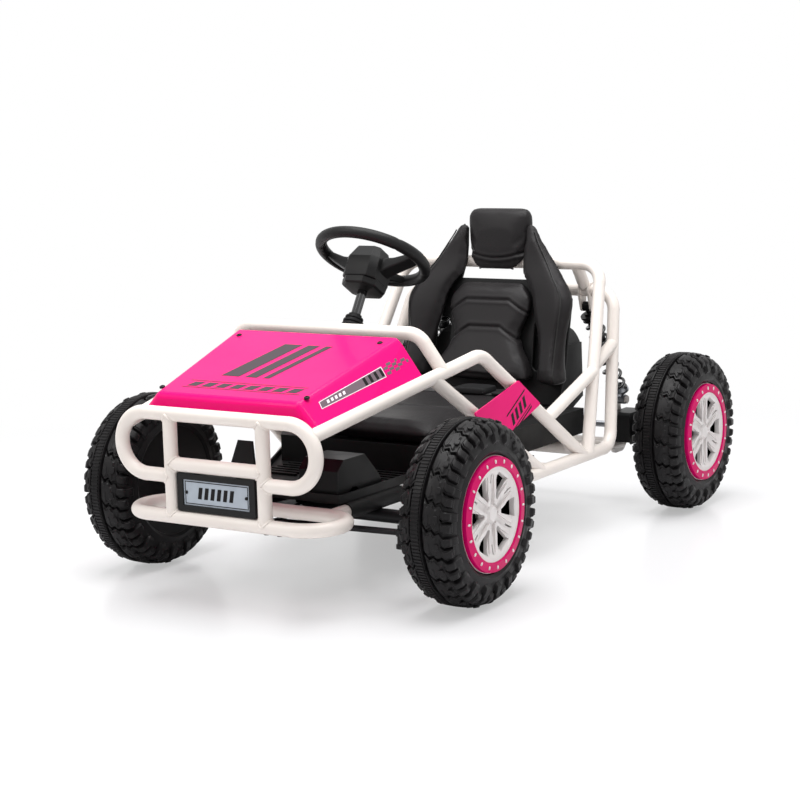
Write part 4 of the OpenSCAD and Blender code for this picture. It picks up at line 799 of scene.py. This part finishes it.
# ribbed rubber collar: radius and height along the column in mm, and its place below the wheel
collarSizes = {"below": 121.5, "outline": [(9.3, -9), (17.6, -9), (18, -7), (17.6, -5.2), (15.2, -4.4),
    (15.2, -2.4),
    (17, -1.6), (17.4, 0.4), (17, 2.2), (13.8, 3.2), (13.8, 5), (15.2, 5.8), (15.4, 7.6), (14.8, 9.2),
    (11.6, 10.2),
    (11, 14), (9.3, 14)]}


def columnCollar():
    # the outline turned round the column: x = r cos, y = r sin of the turn
    outline = np.array(collarSizes["outline"])
    turn = np.linspace(0, 2 * np.pi, 64, endpoint=False)[:, None]
    r, h = outline[None, :, 0], outline[None, :, 1] - collarSizes["below"]
    piece = makePiece("columnCollar", [closedGrid(helmPoints(r * np.cos(turn), r * np.sin(turn), h), True)],
        "frame", "mouldedRubber", 30)
    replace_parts(piece, "column_boot")


columnCollar()

# flat faces that stickers lie on: outward normals with their distances in mm, an origin and a direction
hoodTop = {"planes": [((0, -0.2758, 0.9612), 465.32)], "origin": (0, -500, 340.63), "along": (1, 0, 0)}


def hoodFlap(side):
    return {"planes": [((side * 0.7054, -0.2549, 0.6613), 449.65),
        ((side * 0.7882, -0.1962, 0.5833), 415.41)],
        "origin": (side * 152.6, -505.0, 322.6), "along": (side * 31.0, 213.0, 49.0)}


def sidePlate(side):
    return {"planes": [((side * 0.994, -0.0425, 0.1012), 277.28)], "origin": (side * 249.4, -88, 253.8),
        "along": (side * -1.3, 82.2, 46.3)}


def onFace(face, u, v, lift):
    # a point u along and v across the face, let down on to the foremost of its planes and raised by lift
    normals, gaps = np.array([n for n, _ in face["planes"]], float), np.array([d for _, d in face["planes"]])
    n = normals[0]
    along = unit(np.array(face["along"], float) - n * (n @ np.array(face["along"], float)))
    across = np.cross(n, along) * (1 if n[0] >= 0 else -1)
    p = np.array(face["origin"], float) + np.multiply.outer(u, along) + np.multiply.outer(v, across)
    fall = ((p @ normals.T - gaps) / (normals @ n)).max(-1)
    return p - (fall - lift)[..., None] * n


def film(face, corners, lift=0.35, rows=2):
    # a thin film between two edges; corners are the ends of its lower edge, then of its upper edge, in mm
    (a, b), (c, d) = np.array(corners[:2], float), np.array(corners[2:], float)
    t = np.linspace(0, 1, rows)[:, None]
    low, high = a + (b - a) * t, c + (d - c) * t
    ring = np.stack([onFace(face, low[:, 0], low[:, 1], lift), onFace(face, high[:, 0], high[:, 1], lift),
        onFace(face, high[:, 0], high[:, 1], -0.2), onFace(face, low[:, 0], low[:, 1], -0.2)], 1)
    return closedGrid(ring * mm)


def slanted(face, u, v, width, tall, lean, **more):
    return film(face, [(u, v), (u + width, v), (u + lean, v + tall), (u + lean + width, v + tall)], **more)


# rally bars and a row of dashes on top: generic stripes of the scale of the printed number and word
bars = [slanted(hoodTop, u, 34, w, 128, 34) for u, w in ((-62, 34), (-16, 22), (18, 12))]
dashes = [slanted(hoodTop, -98 + 27 * k, -9, 18, 15, 7) for k in range(8)]
rules = [film(hoodTop, [(-104, v), (118, v), (-103.4, v + 1.4), (118.6, v + 1.4)]) for v in (-14, 10.5)]
makePiece("hoodTopStripes", bars + dashes + rules, "frame", "darkFilm", 20)
for label, side in (("l", 1), ("r", -1)):
    flap = hoodFlap(side)
    edge = [film(flap, [(-4, -6.2), (142, -9.4), (0, 6.2), (147, 9.6)], 0.3, 12)]
    makePiece("hoodFlapEdge_" + label, edge, "frame", "paleFilm", 20)
    band = [film(flap, [(-2.4, -5), (141, -8.2), (1.2, 5), (145, 8.4)], 0.5, 12)]
    band += [slanted(flap, 147 + 5.2 * k, -8 + 4.6 * j, 4.9, 4.5, 1, lift=0.35) for k in range(11)
        for j in range(4)
        if (k // 2 + j) % 2 == 0 and not (k > 6 and j in (0, 3))]
    makePiece("hoodFlapBand_" + label, band, "frame", "smokeFilm", 20)
    marks = [slanted(flap, 96 + 13 * k, -6.5, 6, 13, 3, lift=0.65) for k in range(4)]
    marks += [slanted(flap, 12 + 9 * k, -2.6, 5, 5.2, 2, lift=0.65) for k in range(5)]
    makePiece("hoodFlapMarks_" + label, marks[:4], "frame", "blackFilm", 20)
    makePiece("hoodFlapLines_" + label, marks[4:], "frame", "paleFilm", 20)
    plate = sidePlate(side)
    lines = [film(plate, [(-30, v), (40, v), (-28, v + w), (42, v + w)])
        for v, w in ((-20, 2.2), (-15, 1.2), (14, 2.2))]
    lines += [slanted(plate, -24 + 15 * k, -9, 8, 18, 6) for k in range(4)]
    makePiece("sidePlateStripes_" + label, lines, "frame", "blackFilm", 20)


def screws(face, spots, radius):
    # pan-head screws: domed heads with a round socket sunk in the middle
    spots = np.array(spots, float)
    normal = np.array(face["planes"][0][0], float)
    centres = onFace(face, spots[:, 0], spots[:, 1], 0.0) * mm
    side = np.tile(unit(np.cross(normal, (0.3, 0.2, 1.0))), (len(spots), 1))
    head = [(1.0, -0.5), (1.0, 0.35), (0.9, 0.75), (0.7, 0.96), (0.5, 1.0), (0.46, 0.5), (0.2, 0.45)]
    return buttons(centres, np.tile(normal, (len(spots), 1)), side, (radius * mm, radius * mm, 2.2 * mm),
        head, 18)


plateFace = {"planes": [((0, -1, 0), 570.2)], "origin": (0, -570.2, 185), "along": (1, 0, 0)}
heads = screws(hoodTop, [(u, v) for u in (-138, 138) for v in (-21, 186)], 4.6)
heads += screws(plateFace, [(-57, 0), (57, 0)], 2.6)
makePiece("panelScrews", heads, "frame", "blackenedSteel", 35)
# blank number plate: a dark border line and a row of plain slanted bars, no lettering
blank = [film(plateFace, [(-60, v), (60, v), (-60, v + 1.2), (60, v + 1.2)], 0.3) for v in (-17.5, 16.3)]
blank += [film(plateFace, [(u, -16.3), (u + 1.2, -16.3), (u, 16.3), (u + 1.2, 16.3)], 0.3)
    for u in (-60, 58.8)]
blank += [slanted(plateFace, -36 + 12 * k, -9, 7, 18, 3, lift=0.3) for k in range(6)]
makePiece("plateBorder", blank, "frame", "blackFilm", 20)
print("stage 6: stripes and screws")

tubeRadius = 11.0


def weldBead(centre, branch, main, size=1.9):
    # a bead along the saddle of two tubes of one radius: |p - (p . main) main| = radius; branch points away
    centre, branch, main = (np.asarray(v, float) for v in (centre, branch, main))
    main = unit(main)
    branch = unit(branch)
    flat = unit(main - branch * (main @ branch))
    other = np.cross(branch, flat)
    turn = np.linspace(0, 2 * np.pi, 40, endpoint=False)[:, None]
    offset = (tubeRadius + 0.3) * (np.cos(turn) * flat + np.sin(turn) * other)
    # distance along the branch at which the point lies on the main tube's surface
    slope = branch - main * (branch @ main)
    across = offset - (offset @ main)[:, None] * main
    a, b, c = slope @ slope, across @ slope, (across ** 2).sum(1) - (tubeRadius + 0.3) ** 2
    rise = (-b + np.sqrt(np.maximum(b * b - a * c, 0))) / a
    path = centre + offset + rise[:, None] * branch
    waves = size * (1 + 0.1 * np.sin(turn[:, 0] * 14))
    return tubeAlong(path * mm, waves * mm, 8, True, branch)


beads = []
for s in (-1, 1):
    beads += [weldBead((s * 88, -566.5, 303.2), (0, 0, -1), (1, 0, 0)),
        weldBead((s * 88, -566.5, 144), (0, 0, 1), (1, 0, 0)),
        weldBead((s * 88, -566.5, 226), (-s, 0, 0), (0, 0, 1)),
        weldBead((s * 88, -566.5, 206.8), (s, 0, 0), (0, 0, 1))]
makePiece("weldBeads", beads, "frame", "powderCoatedSteel", 180)
print("stage 7: weld beads")


def setStage():
    # pale floor that fades to the backdrop's white away from the kart
    floor = bpy.data.objects.new("studioFloor", bpy.data.meshes.new("studioFloor"))
    floor.data.from_pydata([(-14, -14, 0), (14, -14, 0), (14, 14, 0), (-14, 14, 0)], [], [(0, 1, 2, 3)])
    bpy.context.scene.collection.objects.link(floor)
    material = bpy.data.materials.new("paleFloor")
    material.use_nodes = True
    tree = material.node_tree
    shader = tree.nodes["Principled BSDF"]
    shader.inputs["Base Color"].default_value = linear("#F0F0F2")
    shader.inputs["Roughness"].default_value = 0.22
    place = addNode(tree, "ShaderNodeTexCoord")
    far = addNode(tree, "ShaderNodeVectorMath", {0: (place, "Object")}, operation="LENGTH")
    fade = addNode(tree, "ShaderNodeMapRange", {"Value": (far, "Value"), "From Min": 0.7, "From Max": 1.7},
        interpolation_type="SMOOTHSTEP")
    white = addNode(tree, "ShaderNodeEmission", {"Color": (1, 1, 1, 1), "Strength": 1.0})
    # to the camera the near floor glows a little too, so that its shadow stays pale
    path = addNode(tree, "ShaderNodeLightPath")
    glow = addNode(tree, "ShaderNodeMath", {0: (path, "Is Camera Ray"), 1: 0.42}, operation="MULTIPLY")
    share = addNode(tree, "ShaderNodeMath", {0: (fade, "Result"), 1: (glow, "Value")}, operation="MAXIMUM")
    mix = addNode(tree, "ShaderNodeMixShader", {0: (share, "Value"), 1: (shader, "BSDF"),
        2: (white, "Emission")})
    tree.links.new(mix.outputs[0], tree.nodes["Material Output"].inputs["Surface"])
    floor.data.materials.append(material)
    # world: soft light all round, plain white behind the kart and in what shines or lets light through
    world = bpy.data.worlds.new("studioWorld")
    bpy.context.scene.world = world
    world.use_nodes = True
    tree = world.node_tree
    light = tree.nodes["Background"]
    light.inputs["Color"].default_value = linear("#FBFAFC")
    light.inputs["Strength"].default_value = 0.38
    seen = addNode(tree, "ShaderNodeBackground", {"Color": (1, 1, 1, 1), "Strength": 1.0})
    path = addNode(tree, "ShaderNodeLightPath")
    either = addNode(tree, "ShaderNodeMath", {0: (path, "Is Camera Ray"), 1: (path, "Is Transmission Ray")},
        operation="MAXIMUM")
    either = addNode(tree, "ShaderNodeMath", {0: (either, "Value"), 1: (path, "Is Glossy Ray")},
        operation="MAXIMUM")
    mix = addNode(tree, "ShaderNodeMixShader", {0: (either, "Value"), 1: (light, "Background"),
        2: (seen, "Background")})
    tree.links.new(mix.outputs[0], tree.nodes["World Output"].inputs["Surface"])


lampSizes = [
    # name, place, aim, size (m), power (W), colour
    ("overheadSoftbox", (0.2, -0.3, 2.6), (0, 0, 0.2), 2.2, 92, "#FFFFFF"),
    ("frontSoftbox", (-1.4, -2.6, 2.3), (0, 0, 0.25), 1.2, 24, "#FFFDFB"),
    ("sideSoftbox", (2.9, 0.2, 1.8), (0, 0, 0.25), 1.2, 6, "#FBFCFF"),
]


def setLamps():
    for name, place, aim, size, power, colour in lampSizes:
        data = bpy.data.lights.new(name, "AREA")
        data.shape, data.size, data.energy = "SQUARE", size, power
        data.color = linear(colour)[:3]
        lamp = bpy.data.objects.new(name, data)
        bpy.context.scene.collection.objects.link(lamp)
        lamp.location = place
        lamp.rotation_mode = "QUATERNION"
        lamp.rotation_quaternion = (Vector(place) - Vector(aim)).to_track_quat("Z", "Y")


cameraSizes = {"azimuth": 33.06, "elevation": 9.0, "roll": -1.6, "lens": 85.59,
    "place": (1.76604, -2.76975, 0.76703)}


def setCamera():
    # the photograph's angle: right, up and back directions, rolled a little
    c = cameraSizes
    a, e, r = (math.radians(c[k]) for k in ("azimuth", "elevation", "roll"))
    back = np.array([math.sin(a) * math.cos(e), -math.cos(a) * math.cos(e), math.sin(e)])
    right = np.array([math.cos(a), math.sin(a), 0.0])
    up = np.cross(back, right)
    data = bpy.data.cameras.new("photoCamera")
    data.lens, data.sensor_width = c["lens"], 36
    data.clip_start, data.clip_end = 0.05, 60
    camera = bpy.data.objects.new("photoCamera", data)
    bpy.context.scene.collection.objects.link(camera)
    turn = np.eye(4)
    turn[:3, 0] = right * math.cos(r) + up * math.sin(r)
    turn[:3, 1] = -right * math.sin(r) + up * math.cos(r)
    turn[:3, 2], turn[:3, 3] = back, c["place"]
    camera.matrix_world = Matrix(turn.tolist())
    bpy.context.scene.camera = camera


setStage()
setLamps()
setCamera()
bpy.context.scene.view_settings.view_transform = "Standard"
print("stage 8: studio set")
